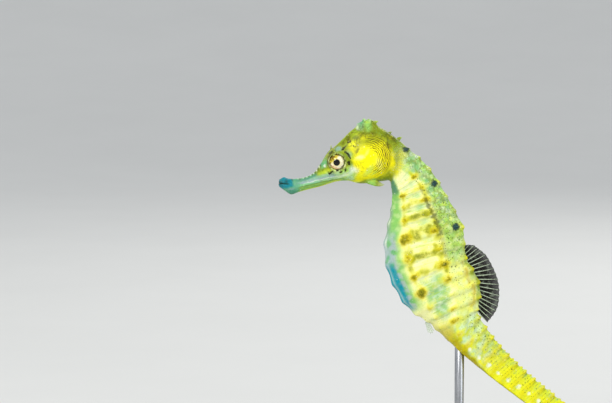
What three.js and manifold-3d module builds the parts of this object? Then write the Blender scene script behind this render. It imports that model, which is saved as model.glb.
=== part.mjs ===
// A three-spot seahorse, Hippocampus trimaculatus, life-size, on a turned display stand.
// Units are millimetres and +Z is up. The animal faces -X and its left side looks towards -Y.
// The origin is the middle of the stand's underside, below the rod.
//
// The body is one loft. Every station of it has a back point, a keel point and a half width,
// and a section of eight ridges hung between them. Stations of the head are counted backwards
// from the nape (-17 is the lip), and station k, for k >= 1, is the body's k-th bony ring.
// The loft is then parted into the lengths that have names.

import * as THREE from 'three';
import { mergeVertices } from 'three/addons/utils/BufferGeometryUtils.js';
import Module from 'manifold-3d';

const wasm = await Module();
wasm.setup();

// ---------------------------------------------------------------- driving dimensions

const GAP = 0.3;                     // clearance between touching pieces
const FIN_THICKNESS = 0.5;           // of the web
const RAY_THICKNESS = 1.3;           // thickness at a ray, against the web's
const WEB_REACH = 0.95;              // how far the web reaches, against its rays

// The head has a frame of its own: "along" runs back from the lip in the snout's direction.
const LIP = { x: -45.8, z: 95.4 };
const SNOUT_RISE = THREE.MathUtils.degToRad(12.8);

// One row for each station of the head: distance along, height of the top, height of the
// bottom, lean (how much further back the top is than the bottom) and half width.
const HEAD_STATIONS = [
  { name: 'lip', along: 0.0, top: 0.9, bottom: -1.0, lean: 0.7, half: 0.95 },
  { name: 'mouth', along: 1.0, top: 1.1, bottom: -2.2, lean: 0.6, half: 1.35 },
  { name: 'chin', along: 2.2, top: 0.5, bottom: -3.5, lean: 0.3, half: 1.45 },
  { name: 'snout front', along: 3.9, top: 0.05, bottom: -3.4, lean: -0.15, half: 1.3 },
  { name: 'snout middle', along: 6.0, top: -0.2, bottom: -3.3, lean: -0.15, half: 1.2 },
  { name: 'snout rear', along: 7.9, top: 0.0, bottom: -3.3, lean: -0.35, half: 1.3 },
  { name: 'bridge', along: 9.7, top: 0.65, bottom: -3.25, lean: -0.85, half: 1.6 },
  { name: 'brow foot', along: 11.3, top: 1.9, bottom: -3.1, lean: -1.35, half: 2.05 },
  { name: 'forehead', along: 13.1, top: 3.65, bottom: -3.0, lean: -1.4, half: 2.55 },
  { name: 'eye', along: 14.8, top: 5.2, bottom: -3.2, lean: -1.5, half: 2.95 },
  { name: 'eye rear', along: 16.5, top: 6.0, bottom: -3.65, lean: -1.4, half: 3.25 },
  { name: 'cheek', along: 18.4, top: 7.1, bottom: -4.6, lean: -1.0, half: 3.65 },
  { name: 'crown front', along: 20.4, top: 8.5, bottom: -5.1, lean: -0.3, half: 4.0 },
  { name: 'crown', along: 22.3, top: 9.2, bottom: -5.25, lean: -0.1, half: 4.15 },
  { name: 'crown rear', along: 24.4, top: 9.1, bottom: -5.5, lean: 0.7, half: 4.1 },
  { name: 'gill cover', along: 26.6, top: 7.9, bottom: -5.7, lean: 1.5, half: 3.95 },
  { name: 'nape', along: 28.1, top: 6.2, bottom: -5.8, lean: 2.6, half: 3.65 },
];

// One row for each bony ring of the trunk: its back point, its keel point and its half width.
// Ring 0 is the collar behind the head, and rings 12 and 13 are the root of the tail.
const TRUNK_RINGS = [
  { back: [-15.6, 105.9], keel: [-17.9, 95.3], half: 3.4 },
  { back: [-13.4, 103.7], keel: [-17.8, 94.7], half: 3.35 },
  { back: [-10.9, 101.3], keel: [-17.7, 93.8], half: 3.5 },
  { back: [-8.2, 98.4], keel: [-17.5, 92.5], half: 3.85 },
  { back: [-5.9, 95.0], keel: [-17.5, 90.6], half: 4.25 },
  { back: [-3.9, 91.5], keel: [-17.8, 87.8], half: 4.6 },
  { back: [-1.8, 87.9], keel: [-18.5, 84.0], half: 4.85 },
  { back: [0.0, 83.7], keel: [-19.3, 79.0], half: 5.0 },
  { back: [0.6, 79.5], keel: [-18.6, 73.4], half: 5.0 },
  { back: [1.1, 76.0], keel: [-16.8, 68.8], half: 4.9 },
  { back: [2.7, 73.1], keel: [-14.1, 64.4], half: 4.75 },
  { back: [4.3, 69.7], keel: [-10.9, 61.4], half: 4.55 },
  { back: [4.6, 66.0], keel: [-8.1, 59.7], half: 4.3 },
  { back: [3.9, 63.0], keel: [-5.8, 57.5], half: 4.1 },
];

// The tail is worked out ring by ring from here on.
const TAIL = {
  firstRing: TRUNK_RINGS.length,
  lastRing: 50,
  start: { x: 0.8, z: 57.8 },        // middle of the first of these rings
  straightRings: 9,                  // rings that trail away before the curl
  startHeading: -50,                 // degrees above the horizontal
  straightHeading: -38.0,
  easeRings: 2,                      // rings over which the curl sets in
  bendPerRing: 15.5,                 // degrees that each ring of the curl turns forward
  straightPitch: 3.2,
  tipPitch: 1.0,
  rootDepth: 9.6,
  straightDepth: 5.9,
  tipDepth: 0.9,
  rootWidthShare: 0.42,              // half width as a share of the depth
  widthShare: 0.46,
};

// Where the ridges of a section lie, keyed by station. Heights are shares of the depth below
// the back point, and sides are shares of the half width.
const SECTION_KEYS = {
  middleDrop: [[-3, 0.0], [1, 0.03], [7, 0.04], [11, 0.035], [18, 0.05]],
  upperSide: [[-17, 0.7], [-10, 0.66], [-7, 0.56], [-3, 0.54], [1, 0.56], [11, 0.6], [17, 0.82]],
  upperDrop: [[-17, 0.14], [-7, 0.13], [-3, 0.13], [0, 0.08], [2, 0.0]],
  sideSide: [[13, 1.0], [18, 0.82]],
  sideDrop: [[-17, 0.5], [-5, 0.52], [-1, 0.5], [3, 0.42], [7, 0.37], [9, 0.32], [10, 0.38],
    [12, 0.56], [14, 0.7], [16, 0.84], [18, 0.96]],
  lowerSide: [[-17, 0.7], [-8, 0.66], [-3, 0.72], [1, 0.62], [11, 0.6], [16, 0.4]],
  lowerDrop: [[-17, 0.87], [-3, 0.88], [1, 0.84], [4, 0.8], [9, 0.73], [11, 0.8], [13, 0.93],
    [15, 1.0]],
  roundness: [[-3, 1.0], [2, 0.7], [11, 0.6], [16, 0.45]],
};

// Raised ring edges, and the knobs where they cross the ridges.
const RELIEF = {
  firstRing: 1,
  ringEdge: 0.12,
  ringSpread: 0.16,                  // share of a ring's length
  knobSpread: 0.24,                  // share of the way to the next ridge
  knobs: { upper: 0.48, side: 0.3, lower: 0.22, keel: 0.14 },
  tailTipShare: 0.3,                 // what is left of the relief at the tip of the tail
};

const EYE = {
  along: 14.8,
  height: 2.0,
  side: 2.25,                        // from the middle plane to the eyeball's centre
  radius: 1.95,
  thickness: 1.6,                    // half of the eyeball's depth, across the head
  rimRadius: 2.3,
  rimThickness: 0.42,
  rimDepthShare: 1.6,                // the rim's depth across the head, against its thickness
  rimSide: 2.75,
};

const EYE_SPINE = { along: 15.05, height: 4.1, side: 2.3, length: 1.75, radius: 0.5, splay: 14 };

const CHEEK_HOOK = {
  side: 2.5,
  thickness: 0.8,
  outline: [[20.6, -3.2], [22.2, -5.3], [23.6, -6.5], [24.7, -6.75], [25.25, -6.3], [24.4, -5.7],
    [24.1, -3.2]],
};

const CORONET = {
  along: 24.3,
  cutHeight: 8.4,                    // the crown is parted from the head at this height
  halfLength: 3.6,
  halfWidth: 4.6,
  height: 10.3,
  rearDroop: 0.45,
  points: 5,
  length: 2.5,                       // from the middle to the hollows between the points
  width: 1.5,
  pointReach: 0.7,
  sink: 0.8,                         // how far its foot reaches below the cut
  blockHeight: 6,
  // Share of the rise, and how wide the star is there against the sizes above.
  rows: [[0, 1.1], [0.5, 1.0], [0.8, 0.95], [1.0, 0.6]],
};

const NAPE_SPINES = [
  { along: 29.3, height: 5.4, length: 0.95, radius: 0.5, lean: 35 },
  { along: 31.7, height: 3.3, length: 0.85, radius: 0.5, lean: 35 },
];

const DORSAL_FIN = {
  rays: 20,
  firstRing: 8.45,
  lastRing: 12.75,
  firstAngle: 50,                    // degrees above the horizontal, pointing back
  lastAngle: -52,
  lengths: [[0, 1.4], [0.1, 3.9], [0.25, 5.4], [0.5, 5.9], [0.8, 6.0], [1, 5.0]],
  rows: 2,
};

const PECTORAL_FIN = {
  rays: 10,
  along: 29.0,
  height: -0.9,
  side: 4.3,
  baseLength: 3.4,
  rayLength: 3.9,
  fanAngle: 42,                      // half of the spread
  rootBow: 0.9,                      // how far the middle of the root stands back
  outerShortfall: 0.25,              // by how much the outermost rays are shorter
  flare: 12,                         // degrees that the fin stands off the side
  rows: 2,
};

const ANAL_FIN = {
  rays: 4,
  ring: 11.95,
  baseLength: 0.8,
  rayLength: 3.1,
  direction: -66,                    // degrees above the horizontal
  fan: 8,                            // half of the spread
  rows: 2,
};

const STAND = {
  baseRadius: 38,
  baseHeight: 9,
  foot: 0.8,                         // chamfer at the bottom edge
  shoulder: 3.2,                     // radius of the rounded top edge
  step: 1.2,
  rodRadius: 1.2,
  rodDepthInBase: 5,
  rodTop: 53.2,
  boreLength: 5.4,                   // of the hole that takes the rod's end in the tail
  collarRadius: 3.2,
  collarHeight: 3.0,
  collarEdge: 0.6,                   // chamfer at the collar's top
};

// How finely the round shapes are cut into flats.
const FACETS = {
  eyeballAround: 14,
  eyeballRings: 8,
  rimAround: 16,
  rimCorners: 5,
  spine: 7,
  hook: 9,
  stepsPerPoint: 4,
  base: 40,
  shoulder: 4,
  rod: 20,
};

// ---------------------------------------------------------------- small tools

const degrees = THREE.MathUtils.degToRad;
const WELD = 1e-4;                   // points nearer than this are one

function keyed(keys, at) {
  if (at <= keys[0][0]) {
    return keys[0][1];
  }
  for (let i = 1; i < keys.length; i += 1) {
    const [start, low] = keys[i - 1];
    const [end, high] = keys[i];
    if (at <= end) {
      return low + (high - low) * (at - start) / (end - start);
    }
  }
  return keys[keys.length - 1][1];
}

function smoothThrough(before, low, high, after, t) {
  return 0.5 * (2 * low + (high - before) * t
    + (2 * before - 5 * low + 4 * high - after) * t * t
    + (3 * low - before - 3 * high + after) * t * t * t);
}

function headPoint(along, height) {
  const c = Math.cos(SNOUT_RISE);
  const s = Math.sin(SNOUT_RISE);
  return [LIP.x + along * c - height * s, LIP.z + along * s + height * c];
}

function solidOf(geometry) {
  const bare = geometry.clone();
  bare.deleteAttribute('normal');
  bare.deleteAttribute('uv');
  const merged = mergeVertices(bare, WELD);
  const mesh = new wasm.Mesh({
    numProp: 3,
    vertProperties: new Float32Array(merged.attributes.position.array),
    triVerts: new Uint32Array(merged.index.array),
  });
  return new wasm.Manifold(mesh);
}

function geometryOf(solid) {
  const mesh = solid.getMesh();
  const geometry = new THREE.BufferGeometry();
  geometry.setAttribute('position', new THREE.BufferAttribute(mesh.vertProperties, 3));
  geometry.setIndex(new THREE.BufferAttribute(mesh.triVerts, 1));
  geometry.computeVertexNormals();
  return geometry;
}

// Closes a row of loops, all with the same number of points, into one solid.
function loft(loops) {
  const positions = [];
  const index = [];
  const count = loops[0].length;
  for (const loop of loops) {
    for (const point of loop) {
      positions.push(point.x, point.y, point.z);
    }
  }
  for (let i = 0; i < loops.length - 1; i += 1) {
    for (let j = 0; j < count; j += 1) {
      const a = i * count + j;
      const b = i * count + (j + 1) % count;
      index.push(a, b, b + count, a, b + count, a + count);
    }
  }
  for (const [row, turn] of [[0, -1], [loops.length - 1, 1]]) {
    const middle = new THREE.Vector3();
    loops[row].forEach((point) => middle.add(point));
    middle.divideScalar(count);
    const centre = positions.length / 3;
    positions.push(middle.x, middle.y, middle.z);
    for (let j = 0; j < count; j += 1) {
      const a = row * count + j;
      const b = row * count + (j + 1) % count;
      index.push(centre, turn > 0 ? a : b, turn > 0 ? b : a);
    }
  }
  const geometry = new THREE.BufferGeometry();
  geometry.setAttribute('position', new THREE.Float32BufferAttribute(positions, 3));
  geometry.setIndex(index);
  return geometry;
}

// ---------------------------------------------------------------- stations of the body

function headStation(row) {
  const back = headPoint(row.along + row.lean / 2, row.top);
  const keel = headPoint(row.along - row.lean / 2, row.bottom);
  return { back, keel, half: row.half };
}

function tailStations() {
  const rows = [];
  const bendStart = TAIL.firstRing + TAIL.straightRings - TAIL.easeRings / 4;
  const curlRings = TAIL.lastRing - TAIL.firstRing - TAIL.straightRings;
  let { x, z } = TAIL.start;
  for (let ring = TAIL.firstRing; ring <= TAIL.lastRing; ring += 1) {
    const straight = Math.min(1, (ring - TAIL.firstRing) / TAIL.straightRings);
    const curl = Math.max(0, (ring - TAIL.firstRing - TAIL.straightRings) / curlRings);
    const settle = 1 - (1 - straight) * (1 - straight);
    const bent = Math.max(0, ring - bendStart);
    const turned = bent > TAIL.easeRings ? bent - TAIL.easeRings / 2 : bent * bent / (2 * TAIL.easeRings);
    const heading = degrees(THREE.MathUtils.lerp(TAIL.startHeading, TAIL.straightHeading, settle)
      - TAIL.bendPerRing * turned);
    const depth = curl > 0
      ? THREE.MathUtils.lerp(TAIL.straightDepth, TAIL.tipDepth, curl)
      : THREE.MathUtils.lerp(TAIL.rootDepth, TAIL.straightDepth, settle);
    const share = THREE.MathUtils.lerp(TAIL.rootWidthShare, TAIL.widthShare, straight);
    const up = [-Math.sin(heading), Math.cos(heading)];
    rows.push({
      back: [x + up[0] * depth / 2, z + up[1] * depth / 2],
      keel: [x - up[0] * depth / 2, z - up[1] * depth / 2],
      half: depth * share,
    });
    const pitch = THREE.MathUtils.lerp(TAIL.straightPitch, TAIL.tipPitch, curl);
    const ahead = heading - degrees(curl > 0 ? TAIL.bendPerRing / 2 : 0);
    x += pitch * Math.cos(ahead);
    z += pitch * Math.sin(ahead);
  }
  return rows;
}

const FIRST_STATION = -HEAD_STATIONS.length;
const LAST_STATION = TAIL.lastRing;

const STATIONS = [...HEAD_STATIONS.map(headStation), ...TRUNK_RINGS, ...tailStations()]
  .map((row, i) => {
    const station = {
      backX: row.back[0],
      backZ: row.back[1],
      keelX: row.keel[0],
      keelZ: row.keel[1],
      half: row.half,
    };
    for (const [name, keys] of Object.entries(SECTION_KEYS)) {
      station[name] = keyed(keys, FIRST_STATION + i);
    }
    return station;
  });

// The station at any place along the body, between the whole ones.
function stationAt(u) {
  const place = THREE.MathUtils.clamp(u, FIRST_STATION, LAST_STATION) - FIRST_STATION;
  const low = Math.min(Math.floor(place), STATIONS.length - 2);
  const t = place - low;
  const rows = [low - 1, low, low + 1, low + 2]
    .map((i) => STATIONS[THREE.MathUtils.clamp(i, 0, STATIONS.length - 1)]);
  const station = {};
  for (const name of Object.keys(STATIONS[0])) {
    station[name] = smoothThrough(rows[0][name], rows[1][name], rows[2][name], rows[3][name], t);
  }
  return station;
}

// How far the surface stands proud at station u and ridge place v.
function reliefAt(u, v) {
  if (u < RELIEF.firstRing - 0.5) {
    return 0;
  }
  const offset = (u - Math.round(u)) / RELIEF.ringSpread;
  const edge = Math.exp(-offset * offset);
  const size = u < TAIL.firstRing ? 1 : THREE.MathUtils.lerp(1, RELIEF.tailTipShare,
    (u - TAIL.firstRing) / (TAIL.lastRing - TAIL.firstRing));
  const onTail = u > TAIL.firstRing;
  const heights = [0, RELIEF.knobs.upper, RELIEF.knobs.side,
    onTail ? 0 : RELIEF.knobs.lower, onTail ? 0 : RELIEF.knobs.keel];
  const across = (v - Math.round(v)) / RELIEF.knobSpread;
  const knob = heights[Math.round(v)] * Math.exp(-across * across);
  return edge * size * (RELIEF.ringEdge + knob);
}

// v counts the ridges down one side: 0 middle of the back, 1 upper, 2 side, 3 lower, 4 keel.
function sectionPoint(station, v) {
  const ridges = [
    [0, station.middleDrop],
    [station.upperSide, station.upperDrop],
    [station.sideSide, station.sideDrop],
    [station.lowerSide, station.lowerDrop],
    [0, 1],
  ];
  const low = Math.min(Math.floor(v), 3);
  const t = v - low;
  const mirrored = (i) => {
    if (i < 0) {
      return [-ridges[-i][0], ridges[-i][1]];
    }
    return i > 4 ? [-ridges[8 - i][0], ridges[8 - i][1]] : ridges[i];
  };
  const [a, b, c, d] = [low - 1, low, low + 1, low + 2].map(mirrored);
  return [0, 1].map((k) => THREE.MathUtils.lerp(
    THREE.MathUtils.lerp(b[k], c[k], t),
    smoothThrough(a[k], b[k], c[k], d[k], t),
    station.roundness,
  ));
}

// The relief stands out from a core, whose height is this share of the depth.
const CORE_SHARE = 0.3;

function surfacePoint(u, v, side) {
  const station = stationAt(u);
  const [across, drop] = sectionPoint(station, v);
  const back = new THREE.Vector2(station.backX, station.backZ);
  const keel = new THREE.Vector2(station.keelX, station.keelZ);
  const down = keel.clone().sub(back);
  const depth = down.length();
  down.divideScalar(depth);
  const core = THREE.MathUtils.clamp(drop, 0.5 - CORE_SHARE / 2, 0.5 + CORE_SHARE / 2);
  const outward = new THREE.Vector2(across * station.half, (drop - core) * depth);
  if (outward.length() > 0) {
    outward.normalize();
  }
  const proud = reliefAt(u, v);
  const sideways = across * station.half + outward.x * proud;
  const fall = drop * depth + outward.y * proud;
  return new THREE.Vector3(back.x + down.x * fall, side * sideways, back.y + down.y * fall);
}

// Places round the section and along a ring at which the loft is sampled.
const SAMPLES = {
  head: { ridges: [0, 0.5, 1, 1.5, 2, 2.5, 3, 3.5, 4], offsets: [0, 0.5] },
  trunk: { ridges: [0, 1, 1.5, 2, 2.5, 3, 3.5, 4], offsets: [-0.22, 0, 0.22, 0.5] },
  tail: { ridges: [0, 1, 1.5, 2, 3, 4], offsets: [-0.25, 0, 0.25] },
  tip: { ridges: [0, 1, 1.5, 2, 3, 4], offsets: [0, 0.5] },
};

function bodyLoop(u, ridges) {
  const left = ridges.map((v) => surfacePoint(u, v, -1));
  const right = ridges.slice(1, -1).reverse().map((v) => surfacePoint(u, v, 1));
  return [...left, ...right];
}

const CLOSEST = 0.05;                // stations between an end and the nearest loop

function samplePlaces(from, to, offsets) {
  const places = [];
  for (let ring = Math.floor(from); ring <= Math.ceil(to); ring += 1) {
    for (const offset of offsets) {
      const place = ring + offset;
      if (place > from + CLOSEST && place < to - CLOSEST) {
        places.push(place);
      }
    }
  }
  return [from, ...places, to];
}

// The plane of the section at station u: a point on it and its direction towards the tail.
function sectionPlane(u) {
  const station = stationAt(u);
  const back = new THREE.Vector3(station.backX, 0, station.backZ);
  const keel = new THREE.Vector3(station.keelX, 0, station.keelZ);
  const up = back.clone().sub(keel).normalize();
  const normal = new THREE.Vector3(up.z, 0, -up.x);
  return { middle: back.add(keel).multiplyScalar(0.5), up, normal };
}

// A block that covers everything on one side of a section plane, from GAP / 2 before it.
const BLOCK = 40;

function blockBeyond(u, towardsTail) {
  const plane = sectionPlane(u);
  const sense = towardsTail ? 1 : -1;
  const normal = plane.normal.clone().multiplyScalar(sense);
  const centre = plane.middle.clone().addScaledVector(normal, BLOCK / 2 - GAP / 2);
  const basis = new THREE.Matrix4().makeBasis(
    normal,
    new THREE.Vector3().crossVectors(plane.up, normal),
    plane.up,
  );
  const block = new THREE.BoxGeometry(BLOCK, BLOCK, BLOCK);
  block.applyMatrix4(basis.setPosition(centre));
  return solidOf(block);
}

const OVERLAP = 0.6;                 // stations by which a length is lofted past its cuts

function bodyLength(from, to, samples) {
  const start = from === FIRST_STATION ? from : from - OVERLAP;
  const end = to === LAST_STATION ? to : to + OVERLAP;
  const loops = samplePlaces(start, end, samples.offsets).map((u) => bodyLoop(u, samples.ridges));
  let solid = solidOf(loft(loops));
  if (start !== from) {
    solid = solid.subtract(blockBeyond(from, false));
  }
  if (end !== to) {
    solid = solid.subtract(blockBeyond(to, true));
  }
  return solid;
}

// ---------------------------------------------------------------- what grows from the head

function placedInHead(geometry, along, height, y) {
  const [x, z] = headPoint(along, height);
  geometry.rotateY(-SNOUT_RISE);
  geometry.translate(x, y, z);
  return geometry;
}

function eyeball(side, clearance) {
  const ball = new THREE.SphereGeometry(1, FACETS.eyeballAround, FACETS.eyeballRings);
  ball.rotateX(Math.PI / 2);
  ball.scale(EYE.radius + clearance, EYE.thickness + clearance, EYE.radius + clearance);
  return placedInHead(ball, EYE.along, EYE.height, side * EYE.side);
}

function orbitRim(side) {
  const profile = [];
  const corners = FACETS.rimCorners;
  for (let i = 0; i <= corners; i += 1) {
    const turn = i / corners * 2 * Math.PI;
    profile.push(new THREE.Vector2(
      EYE.rimRadius + EYE.rimThickness * Math.cos(turn),
      EYE.rimThickness * Math.sin(turn) * EYE.rimDepthShare,
    ));
  }
  const ring = new THREE.LatheGeometry(profile, FACETS.rimAround);
  return placedInHead(ring, EYE.along, EYE.height, side * EYE.rimSide);
}

function spine(radius, length) {
  const cone = new THREE.ConeGeometry(radius, length, FACETS.spine);
  cone.rotateX(Math.PI / 2);
  cone.translate(0, 0, length / 2);
  return cone;
}

function eyeSpine(side) {
  const cone = spine(EYE_SPINE.radius, EYE_SPINE.length);
  cone.rotateX(-side * degrees(EYE_SPINE.splay));
  return placedInHead(cone, EYE_SPINE.along, EYE_SPINE.height, side * EYE_SPINE.side);
}

function cheekHook(side) {
  const points = CHEEK_HOOK.outline.map(([along, height]) => new THREE.Vector2(along, height));
  const curve = new THREE.SplineCurve(points);
  const shape = new THREE.Shape(curve.getPoints(FACETS.hook));
  const plate = new THREE.ExtrudeGeometry(shape, { depth: CHEEK_HOOK.thickness, bevelEnabled: false });
  plate.rotateX(Math.PI / 2);
  return placedInHead(plate, 0, 0, side * CHEEK_HOOK.side + CHEEK_HOOK.thickness / 2);
}

function napeSpine({ along, height, length, radius, lean }) {
  const cone = spine(radius, length);
  cone.rotateY(degrees(lean));
  return placedInHead(cone, along, height, 0);
}

// The crown: a low star with blunt points, higher in front than behind.
function crownStar() {
  const steps = CORONET.points * FACETS.stepsPerPoint;
  const seat = CORONET.cutHeight - CORONET.sink;
  const loops = CORONET.rows.map(([rise, reach]) => {
    const loop = [];
    for (let i = 0; i < steps; i += 1) {
      const turn = -i / steps * 2 * Math.PI;
      const point = Math.max(0, Math.cos(CORONET.points * turn)) * CORONET.pointReach * rise;
      const droop = CORONET.rearDroop * (1 + Math.cos(turn)) * reach;
      loop.push(new THREE.Vector3(
        (CORONET.length * reach + point) * Math.cos(turn),
        (CORONET.width * reach + point) * Math.sin(turn),
        THREE.MathUtils.lerp(seat, CORONET.height - droop, rise),
      ));
    }
    return loop;
  });
  return placedInHead(loft(loops.reverse()), CORONET.along, 0, 0);
}

function crownBlock(clearance) {
  const height = CORONET.blockHeight;
  const block = new THREE.BoxGeometry(
    2 * (CORONET.halfLength + clearance),
    2 * (CORONET.halfWidth + clearance),
    height + clearance,
  );
  const middle = CORONET.cutHeight + (height - clearance) / 2;
  return solidOf(placedInHead(block, CORONET.along, middle, 0));
}

// ---------------------------------------------------------------- fins

// A fan of rays: rays and webs are one plate, thicker along the rays. Each ray starts at
// base(share), points along angle(share) and is length(share) long.
function finPlate({ rays, rows }, base, direction, length, across) {
  const columns = 2 * rays - 1;
  const loops = [];
  for (let column = 0; column < columns; column += 1) {
    const share = column / (columns - 1);
    const onRay = column % 2 === 0;
    const root = base(share);
    const way = direction(share);
    const reach = length(share) * (onRay ? 1 : WEB_REACH);
    const half = FIN_THICKNESS / 2 * (onRay ? RAY_THICKNESS : 1);
    const near = [];
    const far = [];
    for (let row = 0; row <= rows; row += 1) {
      const point = root.clone().addScaledVector(way, reach * row / rows);
      near.push(point.clone().addScaledVector(across, -half));
      far.push(point.clone().addScaledVector(across, half));
    }
    loops.push([...far, ...near.reverse()]);
  }
  return loft(loops);
}

function dorsalFin() {
  const root = (share) => {
    const u = THREE.MathUtils.lerp(DORSAL_FIN.firstRing, DORSAL_FIN.lastRing, share);
    const plane = sectionPlane(u);
    return surfacePoint(u, 0, 1).addScaledVector(plane.up, GAP + RELIEF.ringEdge);
  };
  const way = (share) => {
    const angle = degrees(THREE.MathUtils.lerp(DORSAL_FIN.firstAngle, DORSAL_FIN.lastAngle, share));
    return new THREE.Vector3(Math.cos(angle), 0, Math.sin(angle));
  };
  const reach = (share) => keyed(DORSAL_FIN.lengths, share);
  return finPlate(DORSAL_FIN, root, way, reach, new THREE.Vector3(0, 1, 0));
}

function pectoralFin(side) {
  const flare = degrees(PECTORAL_FIN.flare);
  const backward = new THREE.Vector3(Math.cos(flare), side * Math.sin(flare), 0);
  const across = new THREE.Vector3(-Math.sin(flare), side * Math.cos(flare), 0);
  const root = (share) => new THREE.Vector3(0, 0, PECTORAL_FIN.baseLength * (0.5 - share))
    .addScaledVector(backward, PECTORAL_FIN.rootBow * (Math.sin(share * Math.PI) - 1));
  const way = (share) => {
    const angle = degrees(PECTORAL_FIN.fanAngle) * (1 - 2 * share);
    return backward.clone().multiplyScalar(Math.cos(angle))
      .add(new THREE.Vector3(0, 0, Math.sin(angle)));
  };
  const reach = (share) => PECTORAL_FIN.rayLength
    * (1 - PECTORAL_FIN.outerShortfall * (2 * share - 1) ** 2);
  const plate = finPlate(PECTORAL_FIN, root, way, reach, across.multiplyScalar(side));
  return placedInHead(plate, PECTORAL_FIN.along, PECTORAL_FIN.height, side * PECTORAL_FIN.side);
}

function analFin() {
  const direction = degrees(ANAL_FIN.direction);
  const alongBase = new THREE.Vector3(-Math.sin(direction), 0, Math.cos(direction));
  const vent = surfacePoint(ANAL_FIN.ring, 4, 1);
  vent.addScaledVector(sectionPlane(ANAL_FIN.ring).up, -GAP - ANAL_FIN.baseLength / 2);
  const root = (share) => vent.clone()
    .addScaledVector(alongBase, ANAL_FIN.baseLength * (0.5 - share));
  const way = (share) => {
    const angle = direction + degrees(ANAL_FIN.fan) * (1 - 2 * share);
    return new THREE.Vector3(Math.cos(angle), 0, Math.sin(angle));
  };
  const reach = () => ANAL_FIN.rayLength;
  return finPlate(ANAL_FIN, root, way, reach, new THREE.Vector3(0, 1, 0));
}

// ---------------------------------------------------------------- stand

function standBase() {
  const { baseRadius, baseHeight, foot, shoulder, step } = STAND;
  const profile = [
    new THREE.Vector2(0, 0),
    new THREE.Vector2(baseRadius - foot, 0),
    new THREE.Vector2(baseRadius, foot),
    new THREE.Vector2(baseRadius, baseHeight - shoulder - step),
  ];
  const corners = FACETS.shoulder;
  for (let i = 0; i <= corners; i += 1) {
    const turn = i / corners * Math.PI / 2;
    profile.push(new THREE.Vector2(
      baseRadius - step - shoulder * (1 - Math.cos(turn)),
      baseHeight - shoulder * (1 - Math.sin(turn)),
    ));
  }
  profile.push(new THREE.Vector2(0, baseHeight));
  const disc = new THREE.LatheGeometry(profile, FACETS.base);
  disc.rotateX(Math.PI / 2);
  return solidOf(disc).subtract(rodBore(baseHeight - STAND.rodDepthInBase, baseHeight));
}

function upright(radius, from, to) {
  const cylinder = new THREE.CylinderGeometry(radius, radius, to - from, FACETS.rod);
  cylinder.rotateX(Math.PI / 2);
  cylinder.translate(0, 0, (from + to) / 2);
  return cylinder;
}

function rodBore(from, to) {
  return solidOf(upright(STAND.rodRadius + GAP, from - GAP, to + GAP));
}

function standRod() {
  return upright(STAND.rodRadius, STAND.baseHeight - STAND.rodDepthInBase, STAND.rodTop);
}

function standCollar() {
  const inner = STAND.rodRadius + GAP;
  const outer = STAND.collarRadius;
  const height = STAND.collarHeight;
  const edge = STAND.collarEdge;
  const profile = [
    [inner, 0], [outer, 0], [outer, height - edge * 2], [outer - edge, height - edge],
    [outer - edge * 2, height], [inner, height], [inner, 0],
  ].map(([radius, z]) => new THREE.Vector2(radius, z));
  const ring = new THREE.LatheGeometry(profile, FACETS.rod);
  ring.rotateX(Math.PI / 2);
  ring.translate(0, 0, STAND.baseHeight + GAP);
  return ring;
}

// ---------------------------------------------------------------- pieces and their finishes

const FINISHES = {
  snout: { color: 0x9fc7a8, roughness: 0.5 },
  head: { color: 0xe0dc1e, roughness: 0.5 },
  crown: { color: 0xb7dd7a, roughness: 0.5 },
  trunk: { color: 0xe6eb96, roughness: 0.5 },
  tail: { color: 0xe4e34a, roughness: 0.5 },
  fin: { color: 0x5c6a55, roughness: 0.4 },
  paleFin: { color: 0xd5dcc4, roughness: 0.4 },
  eye: { color: 0xd9c48a, roughness: 0.15 },
  walnut: { color: 0x4a2d1c, roughness: 0.45 },
  steel: { color: 0xb9bcc0, roughness: 0.3, metalness: 1 },
  brass: { color: 0xb08a45, roughness: 0.3, metalness: 1 },
};

const SPLITS = {
  snout: -10.4,
  head: 0.62,
  neck: 2.5,
  chest: 7.5,
  belly: 12.5,
  tail: [17.5, 22.5, 27.5, 32.5, 38.5, LAST_STATION],
};

const seahorse = new THREE.Group();

function add(name, geometry, finish) {
  const mesh = new THREE.Mesh(geometry, new THREE.MeshStandardMaterial(FINISHES[finish]));
  mesh.name = name;
  seahorse.add(mesh);
}

function addHead() {
  let skull = bodyLength(SPLITS.snout, SPLITS.head, SAMPLES.head);
  skull = skull.add(solidOf(crownStar()));
  for (const row of NAPE_SPINES) {
    skull = skull.add(solidOf(napeSpine(row)));
  }
  for (const side of [-1, 1]) {
    skull = skull.add(solidOf(orbitRim(side))).add(solidOf(eyeSpine(side)));
    skull = skull.add(solidOf(cheekHook(side)));
    skull = skull.subtract(solidOf(eyeball(side, GAP)));
  }
  add('head', geometryOf(skull.subtract(crownBlock(GAP))), 'head');
  add('coronet', geometryOf(skull.intersect(crownBlock(0))), 'crown');
  add('eye_left', eyeball(-1, 0), 'eye');
  add('eye_right', eyeball(1, 0), 'eye');
}

function addTail() {
  let from = SPLITS.belly;
  SPLITS.tail.forEach((to, i) => {
    let solid = bodyLength(from, to, to === LAST_STATION ? SAMPLES.tip : SAMPLES.tail);
    if (i === 0) {
      solid = solid.subtract(rodBore(STAND.rodTop - STAND.boreLength, STAND.rodTop));
    }
    add(`tail_${i + 1}`, geometryOf(solid), 'tail');
    from = to;
  });
}

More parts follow.
